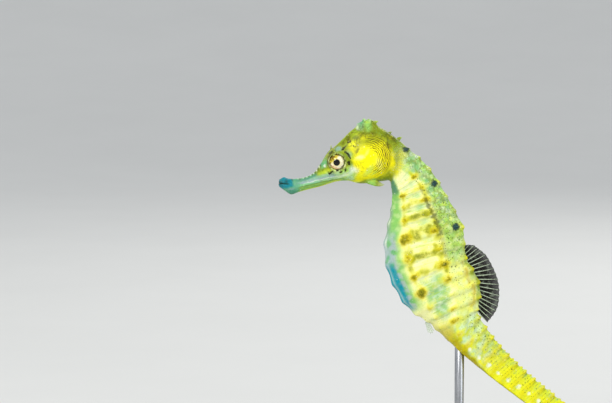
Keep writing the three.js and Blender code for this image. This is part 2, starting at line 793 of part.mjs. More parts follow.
add('snout', geometryOf(bodyLength(FIRST_STATION, SPLITS.snout, SAMPLES.head)), 'snout');
addHead();
add('neck', geometryOf(bodyLength(SPLITS.head, SPLITS.neck, SAMPLES.trunk)), 'trunk');
add('trunk_chest', geometryOf(bodyLength(SPLITS.neck, SPLITS.chest, SAMPLES.trunk)), 'trunk');
add('trunk_belly', geometryOf(bodyLength(SPLITS.chest, SPLITS.belly, SAMPLES.trunk)), 'trunk');
addTail();
add('fin_dorsal', dorsalFin(), 'fin');
add('fin_pectoral_left', pectoralFin(-1), 'paleFin');
add('fin_pectoral_right', pectoralFin(1), 'paleFin');
add('fin_anal', analFin(), 'paleFin');
add('stand_base', geometryOf(standBase()), 'walnut');
add('stand_collar', standCollar(), 'brass');
add('stand_rod', standRod(), 'steel');

export default seahorse;
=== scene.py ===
"""The finished look of a life-size three-spot seahorse on its display stand.

The body is one skin, lofted over the same stations as the solids and then raised into rings,
knobs, orbits, gill covers, coronet and spines. Its markings are worked out from the place of
each point on the body: ring number along it, ridge number round it, and distances on the head.
Sizes are millimetres until a mesh is made, and +Z is up. The animal faces -X.
"""
import math

import bpy
import numpy as np
from bpy.props import FloatProperty, FloatVectorProperty, IntProperty, PointerProperty
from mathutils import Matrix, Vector


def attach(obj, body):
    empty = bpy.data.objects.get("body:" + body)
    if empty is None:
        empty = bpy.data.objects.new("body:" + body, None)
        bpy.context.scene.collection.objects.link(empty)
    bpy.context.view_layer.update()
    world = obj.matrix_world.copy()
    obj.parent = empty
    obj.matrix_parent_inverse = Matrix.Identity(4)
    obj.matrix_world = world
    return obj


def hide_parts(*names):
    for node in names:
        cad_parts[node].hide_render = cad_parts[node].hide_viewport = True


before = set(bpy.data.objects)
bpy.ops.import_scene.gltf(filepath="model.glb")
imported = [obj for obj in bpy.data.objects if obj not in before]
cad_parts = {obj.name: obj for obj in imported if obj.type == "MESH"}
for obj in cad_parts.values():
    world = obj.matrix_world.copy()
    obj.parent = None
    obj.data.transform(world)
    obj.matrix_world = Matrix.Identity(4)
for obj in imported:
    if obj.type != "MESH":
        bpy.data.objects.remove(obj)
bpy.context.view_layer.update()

bl_info = {
    "name": "Seahorse Model",
    "version": (1, 0, 0),
    "blender": (4, 5, 0),
    "location": "View3D > Sidebar > Seahorse",
    "description": "Builds a life-size seahorse with its skin, eyes, fins and display stand",
    "category": "Add Mesh",
}

MM = 0.001
BODY = "root"
SEED = 11


# ---------------------------------------------------------------- the body's own measures

LIP = (-45.8, 95.4)
SNOUT_RISE = 12.8                    # degrees
RISE_COS, RISE_SIN = math.cos(math.radians(SNOUT_RISE)), math.sin(math.radians(SNOUT_RISE))

# Distance back from the lip, top, bottom, lean and half width.
HEAD_STATIONS = (
    (0.0, 0.9, -1.0, 0.7, 0.95),
    (1.0, 1.1, -2.2, 0.6, 1.35),
    (2.2, 0.5, -3.5, 0.3, 1.45),
    (3.9, 0.05, -3.4, -0.15, 1.3),
    (6.0, -0.2, -3.3, -0.15, 1.2),
    (7.9, 0.0, -3.3, -0.35, 1.3),
    (9.7, 0.65, -3.25, -0.85, 1.6),
    (11.3, 1.9, -3.1, -1.35, 2.05),
    (13.1, 3.65, -3.0, -1.4, 2.55),
    (14.8, 5.2, -3.2, -1.5, 2.95),
    (16.5, 6.0, -3.65, -1.4, 3.25),
    (18.4, 7.1, -4.6, -1.0, 3.65),
    (20.4, 8.5, -5.1, -0.3, 4.0),
    (22.3, 9.2, -5.25, -0.1, 4.15),
    (24.4, 9.1, -5.5, 0.7, 4.1),
    (26.6, 7.9, -5.7, 1.5, 3.95),
    (28.1, 6.2, -5.8, 2.6, 3.65),
)

# Back point, keel point and half width of the collar and of each bony ring of the trunk.
TRUNK_RINGS = (
    ((-15.6, 105.9), (-17.9, 95.3), 3.4),
    ((-13.4, 103.7), (-17.8, 94.7), 3.35),
    ((-10.9, 101.3), (-17.7, 93.8), 3.5),
    ((-8.2, 98.4), (-17.5, 92.5), 3.85),
    ((-5.9, 95.0), (-17.5, 90.6), 4.25),
    ((-3.9, 91.5), (-17.8, 87.8), 4.6),
    ((-1.8, 87.9), (-18.5, 84.0), 4.85),
    ((0.0, 83.7), (-19.3, 79.0), 5.0),
    ((0.6, 79.5), (-18.6, 73.4), 5.0),
    ((1.1, 76.0), (-16.8, 68.8), 4.9),
    ((2.7, 73.1), (-14.1, 64.4), 4.75),
    ((4.3, 69.7), (-10.9, 61.4), 4.55),
    ((4.6, 66.0), (-8.1, 59.7), 4.3),
    ((3.9, 63.0), (-5.8, 57.5), 4.1),
)

TAIL_FIRST, TAIL_LAST = len(TRUNK_RINGS), 50
TAIL_START = (0.8, 57.8)
TAIL_STRAIGHT_RINGS = 9
TAIL_HEADINGS = (-50.0, -38.0)
TAIL_EASE_RINGS = 2
TAIL_BEND_PER_RING = 15.5
TAIL_PITCHES = (3.2, 1.0)
TAIL_DEPTHS = (9.6, 5.9, 0.9)
TAIL_WIDTH_SHARES = (0.42, 0.46)

FIRST_STATION = -len(HEAD_STATIONS)

# Places of the ridges on a section, keyed by station: shares of the half width and the depth.
SECTION_KEYS = {
    "middle_drop": ((-3, 0.0), (1, 0.03), (7, 0.04), (11, 0.035), (18, 0.05)),
    "upper_side": ((-17, 0.7), (-10, 0.66), (-7, 0.56), (-3, 0.54), (1, 0.56), (11, 0.6),
                   (17, 0.82)),
    "upper_drop": ((-17, 0.14), (-7, 0.13), (-3, 0.13), (0, 0.08), (2, 0.0)),
    "side_side": ((13, 1.0), (18, 0.82)),
    "side_drop": ((-17, 0.5), (-5, 0.52), (-1, 0.5), (3, 0.42), (7, 0.37), (9, 0.32),
                  (10, 0.38), (12, 0.56), (14, 0.7), (16, 0.84), (18, 0.96)),
    "lower_side": ((-17, 0.7), (-8, 0.66), (-3, 0.72), (1, 0.62), (11, 0.6), (16, 0.4)),
    "lower_drop": ((-17, 0.87), (-3, 0.88), (1, 0.84), (4, 0.8), (9, 0.73), (11, 0.8),
                   (13, 0.93), (15, 1.0)),
    "roundness": ((-3, 1.0), (2, 0.7), (11, 0.6), (16, 0.45)),
}

# Columns of the station table.
BACK, KEEL, HALF, SECTION = slice(0, 2), slice(2, 4), 4, 5

EYE_PLACE = (14.8, 2.0)
EYE_SIDE = 2.25
EYE_RADIUS = 1.95
EYE_THICKNESS = 1.6

DORSAL = {
    "rays": 20,
    "rings": (8.45, 12.75),
    "angles": (50.0, -52.0),
    "lengths": ((0, 1.4), (0.1, 3.9), (0.25, 5.4), (0.5, 5.9), (0.8, 6.0), (1, 5.0)),
    "clearance": 0.42,
}
PECTORAL = {
    "rays": 10,
    "place": (29.0, -0.9),
    "side": 4.3,
    "base": 3.4,
    "length": 3.9,
    "fan": 42.0,
    "flare": 12.0,
    "bow": 0.9,
}
ANAL = {"ring": 11.95, "base": 0.8, "lengths": (3.01, 3.5, 3.36, 2.8),
        "direction": -66.0, "fan": 8.0}

ROD_RADIUS = 1.2
ROD_FOOT, ROD_TOP = 4.0, 53.2
COLLAR_RADIUS = 3.2
COLLAR_FOOT, COLLAR_TOP = 9.3, 12.3

CAMERA_TARGET = (-39.25, 0.0, 90.6)
CAMERA_DISTANCE = 550.0
CAMERA_AZIMUTH = -7.0
CAMERA_ELEVATION = 5.5
CAMERA_WIDTH = 153.0                 # width of the view at the target
SENSOR_WIDTH = 36.0


def colour(red, green, blue):
    """A colour given as it looks on a screen, 0 to 255, made linear."""
    shares = [value / 255 for value in (red, green, blue)]
    return tuple(s / 12.92 if s <= 0.04045 else ((s + 0.055) / 1.055) ** 2.4 for s in shares)


# ---------------------------------------------------------------- settings a user may change


def tint(name, description, rgb):
    return FloatVectorProperty(name=name, description=description, subtype="COLOR", size=3,
                               min=0, max=1, default=colour(*rgb))


def number(name, description, default, low, high, unit="NONE"):
    return FloatProperty(name=name, description=description, default=default, min=low, max=high,
                         unit=unit)


class SkinSettings(bpy.types.PropertyGroup):
    """Colours and relief of the skin."""

    cream: tint("Cream", "Flank panels between the ring bands", (246, 250, 182))
    lemon: tint("Lemon", "Gill covers and the brightest scutes", (252, 244, 0))
    lime: tint("Lime", "Lower flanks and tail", (184, 212, 44))
    olive: tint("Olive", "Ring bands, crown and shaded ridges", (112, 124, 2))
    ochre: tint("Ochre", "Knob spots and orange flecks", (158, 112, 2))
    mint: tint("Mint", "Back panels, coronet and keel", (124, 198, 112))
    aqua: tint("Aqua", "Cool middle of the keel and snout", (74, 150, 132))
    turquoise: tint("Turquoise", "Keel edge and lips", (0, 148, 166))
    lavender: tint("Lavender", "Greyish bloom on the belly and snout", (152, 172, 178))
    slate: tint("Slate", "The three spots of the back", (18, 48, 54))
    moss: tint("Moss", "Fine specks and lines", (46, 64, 12))
    umber: tint("Umber", "Dashes round the eye", (24, 17, 5))
    bark: tint("Bark", "Fine brown lines of the head", (72, 60, 4))
    pearl: tint("Pearl", "Palest flecks", (244, 248, 232))
    ring_height: number("Ring height", "How far a ring's edge stands up, in mm", 0.1, 0, 0.6)
    knob_height: number("Knob height", "Height of the upper ridge's knobs, in mm", 0.5, 0, 1.5)
    panel_depth: number("Panel depth", "Hollow of the panels between rings, in mm", 0.08, 0, 0.5)


class EyeSettings(bpy.types.PropertyGroup):
    """Colours of the eyes."""

    iris: tint("Iris", "Pale ground of the iris", (252, 246, 212))
    gold: tint("Gold", "Streaks of the iris", (206, 186, 8))
    rust: tint("Rust", "Shaded rim of the iris", (84, 50, 10))
    pupil_radius: number("Pupil radius", "Radius of the pupil, in mm", 0.82, 0.3, 1.5)


class FinSettings(bpy.types.PropertyGroup):
    """Finish of the fins."""

    membrane: tint("Membrane", "Smoky web of the back fin", (16, 15, 8))
    clear: tint("Clear membrane", "Web of the small fins", (222, 230, 170))
    ray: tint("Ray", "Fin rays", (206, 222, 194))
    ray_sides: IntProperty(name="Ray sides", description="Sides of a ray", default=7, min=4, max=16)


class StandSettings(bpy.types.PropertyGroup):
    """Finish of the stand."""

    walnut: tint("Walnut", "Ground of the wood", (104, 66, 42))
    walnut_dark: tint("Dark walnut", "Pores and late wood", (48, 27, 16))
    brass: tint("Brass", "Collar", (198, 158, 86))
    steel: tint("Steel", "Rod", (190, 192, 196))


class StageSettings(bpy.types.PropertyGroup):
    """Floor and light."""

    floor: tint("Floor", "Floor and backdrop", (222, 222, 219))
    key: number("Key light", "Power of the key light", 5.0, 0, 50, "POWER")
    fill: number("Fill light", "Power of the fill light", 1.4, 0, 50, "POWER")
    rim: number("Rim light", "Power of the rim light", 1.6, 0, 50, "POWER")
    sky: number("Sky", "Strength of the all-round light", 0.7, 0, 10)


# ---------------------------------------------------------------- small tools


def keyed(keys, at):
    """Values between the (place, value) pairs of keys."""
    places, values = zip(*keys)
    return np.interp(at, places, values)


def palette(settings):
    """The colours of a settings group, by name."""
    found = {name: getattr(settings, name) for name in settings.__annotations__}
    return {name: tuple(value) for name, value in found.items() if hasattr(value, "__len__")}


def darker(shade, share):
    return tuple(share * part for part in shade)


def catmull(before, low, high, after, t):
    """A smooth curve from low to high, with its neighbours' slopes."""
    return 0.5 * (
        2 * low
        + (high - before) * t
        + (2 * before - 5 * low + 4 * high - after) * t**2
        + (3 * low - before - 3 * high + after) * t**3
    )


def four_at(rows, low):
    """The rows at low and around it, as catmull takes them."""
    return [rows[np.clip(low + i, 0, len(rows) - 1)] for i in (-1, 0, 1, 2)]


def lerp(low, high, t):
    return low + (high - low) * t


def ramp(start, end, value):
    """0 before start, 1 after end, and smooth between."""
    t = np.clip((value - start) / (end - start), 0, 1)
    return t * t * (3 - 2 * t)


def hill(value, centre, width):
    """1 at centre, falling away on both sides."""
    return np.exp(-(((value - centre) / width) ** 2))


def fall(start, end, value):
    return 1 - ramp(start, end, value)


def plateau(value, start, end, soft):
    """1 between start and end, fading over twice soft at both."""
    return ramp(start - soft, start + soft, value) * fall(end - soft, end + soft, value)


DRIFT_WAVES = 14
DRIFT_SCALE = 4.5                    # brings the sum of the waves to about 1


def drift(points, size, seed):
    """A soft mottle from -1 to 1 with blotches about size across."""
    random = np.random.default_rng(SEED + seed)
    total = np.zeros(points.shape[:-1])
    for _ in range(DRIFT_WAVES):
        way = random.normal(size=3)
        way *= 2 * math.pi / size / np.linalg.norm(way) * random.uniform(0.6, 1.3)
        total += np.sin(points @ way + random.uniform(0, 2 * math.pi))
    return np.clip(total / DRIFT_SCALE, -1, 1)


def blotches(grid, size, seed):
    """The same mottle on the bare skin, from 0 to 1."""
    return 0.5 + 0.5 * drift(grid.base, size, seed)


def axes_turned(across, up, degrees):
    """A place given in axes that are turned by an angle."""
    c, s = math.cos(math.radians(degrees)), math.sin(math.radians(degrees))
    return across * c + up * s, up * c - across * s


def head_point(along, height):
    """Places in the body's plane from distance back from the lip and height over the snout."""
    return (LIP[0] + along * RISE_COS - height * RISE_SIN,
            LIP[1] + along * RISE_SIN + height * RISE_COS)


def head_space(along, height, side):
    x, z = head_point(along, height)
    return np.array((x, side, z))


HEAD_BACK = head_space(1, 0, 0) - head_space(0, 0, 0)
HEAD_UP = head_space(0, 1, 0) - head_space(0, 0, 0)


def in_head(points):
    """Distance back from the lip and height above the snout's axis, for points in mm."""
    return axes_turned(points[..., 0] - LIP[0], points[..., 2] - LIP[1], SNOUT_RISE)


def unit(vectors):
    return vectors / np.maximum(np.linalg.norm(vectors, axis=-1, keepdims=True), 1e-9)


def circle(count):
    """Points of a unit circle."""
    spins = np.arange(count) / count * 2 * math.pi
    return np.stack([np.cos(spins), np.sin(spins)], axis=1)


def grid_faces(rows, columns, first=0):
    """Quads between rows of points, each row a closed ring."""
    i, j = np.meshgrid(np.arange(rows - 1), np.arange(columns), indexing="ij")
    a = first + i * columns + j
    b = first + i * columns + (j + 1) % columns
    return np.stack([a, b, b + columns, a + columns], axis=-1).reshape(-1, 4)


def tube_faces(rows, columns):
    """The same quads, closed at both ends by fans round the two points after the rows."""
    faces = grid_faces(rows, columns).tolist()
    foot, last = rows * columns, (rows - 1) * columns
    for j in range(columns):
        after = (j + 1) % columns
        faces += [(foot, after, j), (foot + 1, last + j, last + after)]
    return faces


# ---------------------------------------------------------------- stations and surface


def tail_rows():
    rows = []
    bend_start = TAIL_FIRST + TAIL_STRAIGHT_RINGS - TAIL_EASE_RINGS / 4
    curl_rings = TAIL_LAST - TAIL_FIRST - TAIL_STRAIGHT_RINGS
    x, z = TAIL_START
    for ring in range(TAIL_FIRST, TAIL_LAST + 1):
        straight = min(1, (ring - TAIL_FIRST) / TAIL_STRAIGHT_RINGS)
        curl = max(0, (ring - TAIL_FIRST - TAIL_STRAIGHT_RINGS) / curl_rings)
        settle = 1 - (1 - straight) ** 2
        bent = max(0, ring - bend_start)
        eased = bent > TAIL_EASE_RINGS
        turned = bent - TAIL_EASE_RINGS / 2 if eased else bent**2 / (2 * TAIL_EASE_RINGS)
        heading = math.radians(lerp(*TAIL_HEADINGS, settle) - TAIL_BEND_PER_RING * turned)
        root, middle, tip = TAIL_DEPTHS
        depth = lerp(middle, tip, curl) if curl > 0 else lerp(root, middle, settle)
        up = np.array((-math.sin(heading), math.cos(heading))) * depth / 2
        centre = np.array((x, z))
        rows.append((centre + up, centre - up, depth * lerp(*TAIL_WIDTH_SHARES, straight)))
        pitch = lerp(*TAIL_PITCHES, curl)
        ahead = heading - math.radians(TAIL_BEND_PER_RING / 2 if curl > 0 else 0)
        x += pitch * math.cos(ahead)
        z += pitch * math.sin(ahead)
    return rows


def station_table():
    rows = [(head_point(along + lean / 2, top), head_point(along - lean / 2, bottom), half)
            for along, top, bottom, lean, half in HEAD_STATIONS]
    rows += list(TRUNK_RINGS) + tail_rows()
    ends = np.array([(*back, *keel, half) for back, keel, half in rows])
    at = np.arange(len(rows)) + FIRST_STATION
    sections = np.stack([keyed(keys, at) for keys in SECTION_KEYS.values()], axis=1)
    return np.hstack([ends, sections])


STATIONS = station_table()


def stations_at(u):
    place = np.clip(u, FIRST_STATION, TAIL_LAST) - FIRST_STATION
    low = np.minimum(np.floor(place).astype(int), len(STATIONS) - 2)
    return catmull(*four_at(STATIONS, low), (place - low)[:, None])


def ridge_points(stations):
    """The five ridges of one side, as (side, drop) for each station, from back to keel."""
    middle, upper_s, upper_d, side_s, side_d, lower_s, lower_d, _ = stations[:, SECTION:].T
    zero, one = np.zeros_like(middle), np.ones_like(middle)
    pairs = ((zero, middle), (upper_s, upper_d), (side_s, side_d), (lower_s, lower_d), (zero, one))
    return [np.stack(pair, axis=-1) for pair in pairs]


def section_at(stations, v):
    """Side and drop of a place v on the section of every station."""
    ridges = ridge_points(stations)
    last = len(ridges) - 1
    low = min(int(v), last - 1)
    mirror = np.array((-1, 1))

    def ridge(i):
        if i < 0:
            return ridges[-i] * mirror
        return ridges[2 * last - i] * mirror if i > last else ridges[i]

    rows = [ridge(low + i) for i in (-1, 0, 1, 2)]
    t = v - low
    return lerp(lerp(rows[1], rows[2], t), catmull(*rows, t), stations[:, -1:])


def body_surface(u, v, side):
    """Points of the bare loft for every station of u and every ridge place of v."""
    stations = stations_at(np.atleast_1d(u).astype(float))
    back, half = stations[:, BACK], stations[:, HALF]
    down = stations[:, KEEL] - back
    points = np.empty((len(stations), len(v), 3))
    for j, (place, sense) in enumerate(zip(v, side)):
        across, drop = section_at(stations, place).T
        points[:, j, 0] = back[:, 0] + down[:, 0] * drop
        points[:, j, 1] = sense * across * half
        points[:, j, 2] = back[:, 1] + down[:, 1] * drop
    return points


def surface_point(u, v, sense=1.0):
    return body_surface(u, np.array((v,)), np.array((sense,)))[:, 0]


def surface_normals(points):
    along = np.gradient(points, axis=0)
    around = np.roll(points, -1, axis=1) - np.roll(points, 1, axis=1)
    normals = unit(np.cross(around, along))
    middle = points.mean(axis=1, keepdims=True)
    outward = np.sign(np.sum(normals * (points - middle), axis=-1).sum())
    return normals * outward


# ---------------------------------------------------------------- the skin's grid

HALF_COLUMNS = 72
HEAD_STEP = 0.125
TRUNK_STEP = 0.2
ROWS_PER_TAIL_RING = 10
COLUMN_CROWDING = 0.42               # how much the columns crowd towards the ridges
TAIL_GRID_START = 13.0


def ridge_places(half_columns):
    """Ridge place and side of every column, down the left side and up the right one."""
    share = np.arange(half_columns + 1) / half_columns * 4
    down = share - COLUMN_CROWDING * np.sin(2 * math.pi * share) / (2 * math.pi)
    v = np.concatenate([down, down[-2:0:-1]])
    side = np.concatenate([-np.ones(half_columns + 1), np.ones(half_columns - 1)])
    return v, side


def evenly_spaced(start, end, step):
    """Stations from start to end, a step apart on the body's middle line."""
    fine = np.linspace(start, end, 1200)
    rows = stations_at(fine)
    middle = (rows[:, BACK] + rows[:, KEEL]) / 2
    run = np.concatenate([[0], np.cumsum(np.linalg.norm(np.diff(middle, axis=0), axis=1))])
    return np.interp(np.linspace(0, run[-1], int(run[-1] / step) + 1), run, fine)


class Grid:
    """One stretch of the skin: points in rows along the body and columns round it."""

    def __init__(self, u, half_columns):
        v, side = ridge_places(half_columns)
        self.u = u
        self.points = body_surface(u, v, side)
        self.normals = surface_normals(self.points)
        self.base = self.points.copy()
        self.along, self.height = in_head(self.points)
        self.U, self.V, self.SIDE = map(np.array, np.broadcast_arrays(u[:, None], v, side))

    def push(self, lift, way=None):
        """Moves each point by its own lift, outward or along another way."""
        self.points += (self.normals if way is None else way) * lift[..., None]


# ---------------------------------------------------------------- relief of trunk and tail


# How far towards the head each ridge's part of a ring lies, in rings.
RING_LEAN = ((0, 0.05), (1, 0.05), (2, 0.36), (3, 0.2), (4, 0.15))


def ring_offset(u, v):
    """Distance from the nearest ring's edge, in rings, and that ring's number."""
    place = u + keyed(RING_LEAN, v) * fall(12.0, 15.0, u)
    ring = np.round(place)
    return place - ring, ring


def ring_profile(offset, before, after):
    """A ring's edge: it rises gently from the head's side and drops steeply tailwards."""
    width = np.where(offset < 0, before, after)
    return np.exp(-((offset / width) ** 2))


def tail_fade(u):
    return lerp(1.0, 0.32, np.clip((u - TAIL_FIRST) / (TAIL_LAST - TAIL_FIRST), 0, 1))


KNOBS = (
    # ridge place, share of the full height, share on the tail, spread across, longer on rings
    (1, 1.0, 0.8, 0.16, ()),
    (2, 0.55, 0.0, 0.15, (3, 7, 10)),
    (3, 0.45, 0.0, 0.16, (4, 7)),
    (4, 0.75, 0.0, 0.3, ()),
)
UPPER_REACH = ((1, 0.6), (2, 0.42), (4, 0.36), (6, 0.2), (7, 0.55), (8, 0.2), (9, 0.2), (10, 0.45),
               (12, 0.4), (15, 0.75), (20, 1.0), (50, 1.0))
LOW_VALLEY = 0.15                    # hollow between the lower knobs, as a share of their height


def raise_rings(grid, settings):
    u, v = grid.U, grid.V
    offset, ring = ring_offset(u, v)
    present = ramp(0.3, 0.8, u)
    fade = tail_fade(u) * present
    on_tail = ramp(12.0, 15.0, u)
    edge = ring_profile(offset, 0.3, 0.14)
    keel_share = 1 - 0.5 * ramp(3.2, 4.0, v) * (1 - on_tail)
    lift = settings.ring_height * edge * keel_share * (1 - 0.6 * on_tail)
    between = 1 - np.abs(np.sin(math.pi * v)) ** 0.6
    hollow = (1 - 0.6 * ramp(3, 3.5, v)) * (1 - 0.75 * on_tail)
    lift -= settings.panel_depth * (1 - edge) * (1 - between) * hollow
    sweep = np.zeros_like(lift)
    for place, share, tail_share, spread, longer in KNOBS:
        height = settings.knob_height * lerp(share, share * tail_share, on_tail)
        height = height * np.where(np.isin(ring, longer), 1.3, 1.0)
        reach = keyed(UPPER_REACH, ring) if place == 1 else height * (1 - LOW_VALLEY)
        across = np.exp(-(np.abs((v - place) / spread) ** (1.5 if place == 1 else 2)))
        rise = ring_profile(offset, lerp(0.26, 0.18, on_tail), 0.12)
        if place == 4:
            rise = ring_profile(offset, 0.28, 0.26) * ramp(3.0, 6.5, u)
        lift += across * lerp(np.minimum(reach - height, 0), reach, rise)
        sweep += across * rise * height
    lower = np.exp(-(np.abs((v - 2) / 0.16) ** 1.5)) * ring_profile(offset, 0.28, 0.16)
    lift += 0.14 * lower * ramp(13, 16, u)
    along = unit(np.gradient(grid.base, axis=0))
    lift *= 1 - 0.75 * fall(2.0, 4.2, u) * plateau(v, 1.7, 3.3, 0.2)
    grid.push(lift * fade)
    grid.push(0.3 * sweep * fade, along)


# ---------------------------------------------------------------- relief of the head


def shape_mouth(grid):
    """Parts the lips and rounds the chin."""
    a, h = grid.along, grid.height
    gape = lerp(-0.15, -0.75, np.clip(a / 2.2, 0, 1))
    cut = hill(h, gape, 0.16) * fall(1.6, 2.5, a)
    lip = hill(h, gape + 0.42, 0.3) * fall(0.8, 1.8, a)
    lower_lip = hill(h, gape - 0.45, 0.3) * fall(0.6, 1.5, a)
    lift = -0.3 * cut + 0.1 * lip + 0.12 * lower_lip
    flank = hill(h, -1.5, 0.5) * plateau(a, 3.4, 12.0, 1.0)
    lift -= 0.1 * flank
    grid.push(lift)
    grid.gape = cut


def shape_orbits(grid):
    """Turns the skin round each eye into a raised rim with a socket under the eyeball."""
    a, h = grid.along, grid.height
    r = np.hypot(a - EYE_PLACE[0], h - EYE_PLACE[1])
    y = np.abs(grid.points[..., 1])
    near = fall(2.35, 3.7, r) * ramp(0.2, 0.7, grid.V) * (grid.V < 3.4)
    tilt = 0.1 * (h - EYE_PLACE[1])
    rim_level = EYE_SIDE + 0.62 - tilt
    ball = EYE_SIDE + EYE_THICKNESS * np.sqrt(np.clip(1 - (r / EYE_RADIUS) ** 2, 0, 1))
    rim = rim_level + 0.16 * hill(r, 2.12, 0.22) - 0.12 * hill(r, 2.75, 0.3)
    lid = np.where(r < 1.86, np.minimum(ball - 0.35, rim_level), rim)
    lid = lerp(np.minimum(ball - 0.35, rim_level - 0.2), lid, ramp(1.8, 1.95, r))
    target = np.where(r < 3.7, lid, y)
    fresh = lerp(y, target, near)
    grid.points[..., 1] = grid.SIDE * fresh
    hollow = hill(a, 14.3, 2.2) * hill(grid.base[..., 1], 0, 0.9) * (grid.V < 1.2)
    grid.push(-0.3 * hollow, HEAD_UP)
    brow = hill(a, 13.6, 1.6) * hill(np.abs(grid.base[..., 1]), 2.0, 0.8)
    brow = brow * hill(grid.V, 0.75, 0.5)
    grid.push(0.32 * brow, HEAD_UP)
    grid.orbit = r


GILL_CENTRE = (22.6, 0.9)
GILL_SIZE = (5.3, 5.2)
GILL_LINES = 0.092                   # from one growth line to the next, as a share of the size


def gill_share(grid):
    """Distance from the middle of the gill cover, 1 at its edge."""
    a = (grid.along - GILL_CENTRE[0]) / GILL_SIZE[0]
    h = (grid.height - GILL_CENTRE[1]) / GILL_SIZE[1]
    return np.hypot(a, h - 0.12 * a)


def shape_gill_covers(grid):
    s = gill_share(grid)
    flank = plateau(grid.V, 0.7, 3.3, 0.25)
    dome = np.clip(1 - s**2, 0, 1) ** 1.2
    slit = hill(s, 1.1, 0.05) * ramp(24.5, 27.0, grid.along)
    grid.push((0.32 * dome - 0.16 * slit) * flank)
    ribs = np.sin(2 * math.pi * s / GILL_LINES) * plateau(s, 0.4, 1.02, 0.08)
    ribs = ribs * ramp(21.5, 24.5, grid.along) * plateau(grid.height, -3.0, 6.4, 0.8)
    grid.push(0.022 * ribs * flank)
    brow = hill(grid.height - 0.55 * (grid.along - 17), 3.6, 0.5) * plateau(grid.along, 16, 21.5, 1)
    grid.push(0.14 * brow * flank)
    grid.gill = s
    grid.slit = slit * flank


CORONET_PLACE = 24.3
CORONET_SIZE = (2.75, 1.75)
CORONET_TOP = ((20.8, 8.9), (22.4, 9.75), (24.2, 10.15), (25.6, 10.0), (26.6, 9.5), (27.2, 9.0))


def raise_coronet(grid):
    """Lifts the crown into a low mount with a shallow dish on top."""
    a = grid.along - CORONET_PLACE
    y = grid.base[..., 1]
    reach = np.hypot(a / CORONET_SIZE[0], y / CORONET_SIZE[1])
    inside = fall(0.72, 1.2, reach) * (grid.V < 1.6)
    top = keyed(CORONET_TOP, grid.along) + 0.12 * hill(reach, 0.75, 0.2) - 0.15 * hill(reach, 0, 0.4)
    grid.push(np.maximum(top - grid.height, 0) * inside, HEAD_UP)


BEADS = (4.6, 5.9, 6.9, 7.9, 8.7, 9.6, 10.4)


def raise_beads(grid):
    """A row of low beads down the bridge of the snout, and the bump before each eye."""
    lift = np.zeros_like(grid.along)
    for along in BEADS:
        for place, size in ((0.45, 0.14), (0.0, 0.1)):
            lift += size * hill(grid.along, along, 0.25) * hill(grid.V, place, 0.3)
    grid.push(lift, HEAD_UP)
    bump = hill(grid.along, 11.9, 1.3) * hill(grid.height, 0.9, 1.0) * plateau(grid.V, 0.4, 2.6, 0.3)
    grid.points[..., 1] += grid.SIDE * 0.3 * bump


# ---------------------------------------------------------------- spines of the head

# Path as (along, height, side), then the half thicknesses in the head's plane and across it.
MIDDLE_SPINES = (
    (((25.4, 8.6, 0.0), (26.6, 9.15, 0.0), (27.5, 9.3, 0.0)), (0.8, 0.5, 0.06), 0.8),
    (((28.6, 5.2, 0.0), (29.6, 5.7, 0.0), (30.3, 5.95, 0.0)), (0.7, 0.4, 0.05), 0.7),
    (((30.7, 3.4, 0.0), (31.8, 3.85, 0.0), (32.5, 4.05, 0.0)), (0.7, 0.4, 0.05), 0.7),
    (((26.3, 7.2, 0.0), (27.1, 7.6, 0.0), (27.6, 7.8, 0.0)), (0.6, 0.35, 0.05), 0.7),
)
PAIRED_SPINES = (
    (((24.4, 8.6, 0.8), (25.1, 9.7, 1.25), (25.6, 10.3, 1.5)), (1.1, 0.6, 0.06), 0.7),
    (((23.4, 8.6, 0.6), (22.7, 9.4, 0.95), (22.2, 9.75, 1.2)), (1.0, 0.55, 0.06), 0.7),
    (((23.9, 9.4, 0.7), (24.0, 10.2, 0.9), (24.25, 10.75, 1.0)), (0.7, 0.4, 0.05), 0.7),
    (((14.4, 3.6, 2.2), (14.7, 4.9, 2.6), (14.9, 6.0, 2.8)), (0.75, 0.3, 0.05), 0.8),
    (((20.6, -3.6, 1.5), (22.2, -4.7, 1.7), (23.3, -5.55, 1.95), (24.3, -6.1, 2.15),
      (25.25, -6.35, 2.25)), (1.0, 0.95, 0.76, 0.46, 0.04), 0.4),
)
SPINE_ROWS = 18
SPINE_SIDES = 14


def horn(path, radii, flatness):
    """A closed, curved and tapering spine whose foot lies inside the skin."""
    path = np.array(path)
    t = np.linspace(0, len(path) - 1, SPINE_ROWS)
    low = np.minimum(t.astype(int), len(path) - 2)
    middle = catmull(*four_at(path, low), (t - low)[:, None])
    thick = np.interp(t, np.arange(len(radii)), radii)
    way = unit(np.gradient(middle, axis=0))
    beside = unit(np.cross(way, (0.0, 0.0, 1.0)) + np.array((0, 1e-6, 0)))
    beside = np.where(beside[:, 1:2] < 0, -beside, beside)
    above = np.cross(beside, way)
    cosine, sine = circle(SPINE_SIDES).T[..., None]
    ring = cosine * above[:, None] + flatness * sine * beside[:, None]
    points = (middle[:, None] + ring * thick[:, None, None]).reshape(-1, 3)
    ends = np.array((middle[0], middle[-1] + way[-1] * thick[-1]))
    share = np.append(np.repeat(t / t[-1], SPINE_SIDES), (0.0, 1.0))
    return np.concatenate([points, ends]), tube_faces(SPINE_ROWS, SPINE_SIDES), share


def head_spines():
    """All spines of the head: the coronet's points, and those of nape, brows and cheeks."""
    spines = [(spine, 1) for spine in MIDDLE_SPINES]
    spines += [(spine, sense) for spine in PAIRED_SPINES for sense in (-1, 1)]
    return [horn([head_space(a, h, sense * y) for a, h, y in path], radii, flatness)
            for (path, radii, flatness), sense in spines]


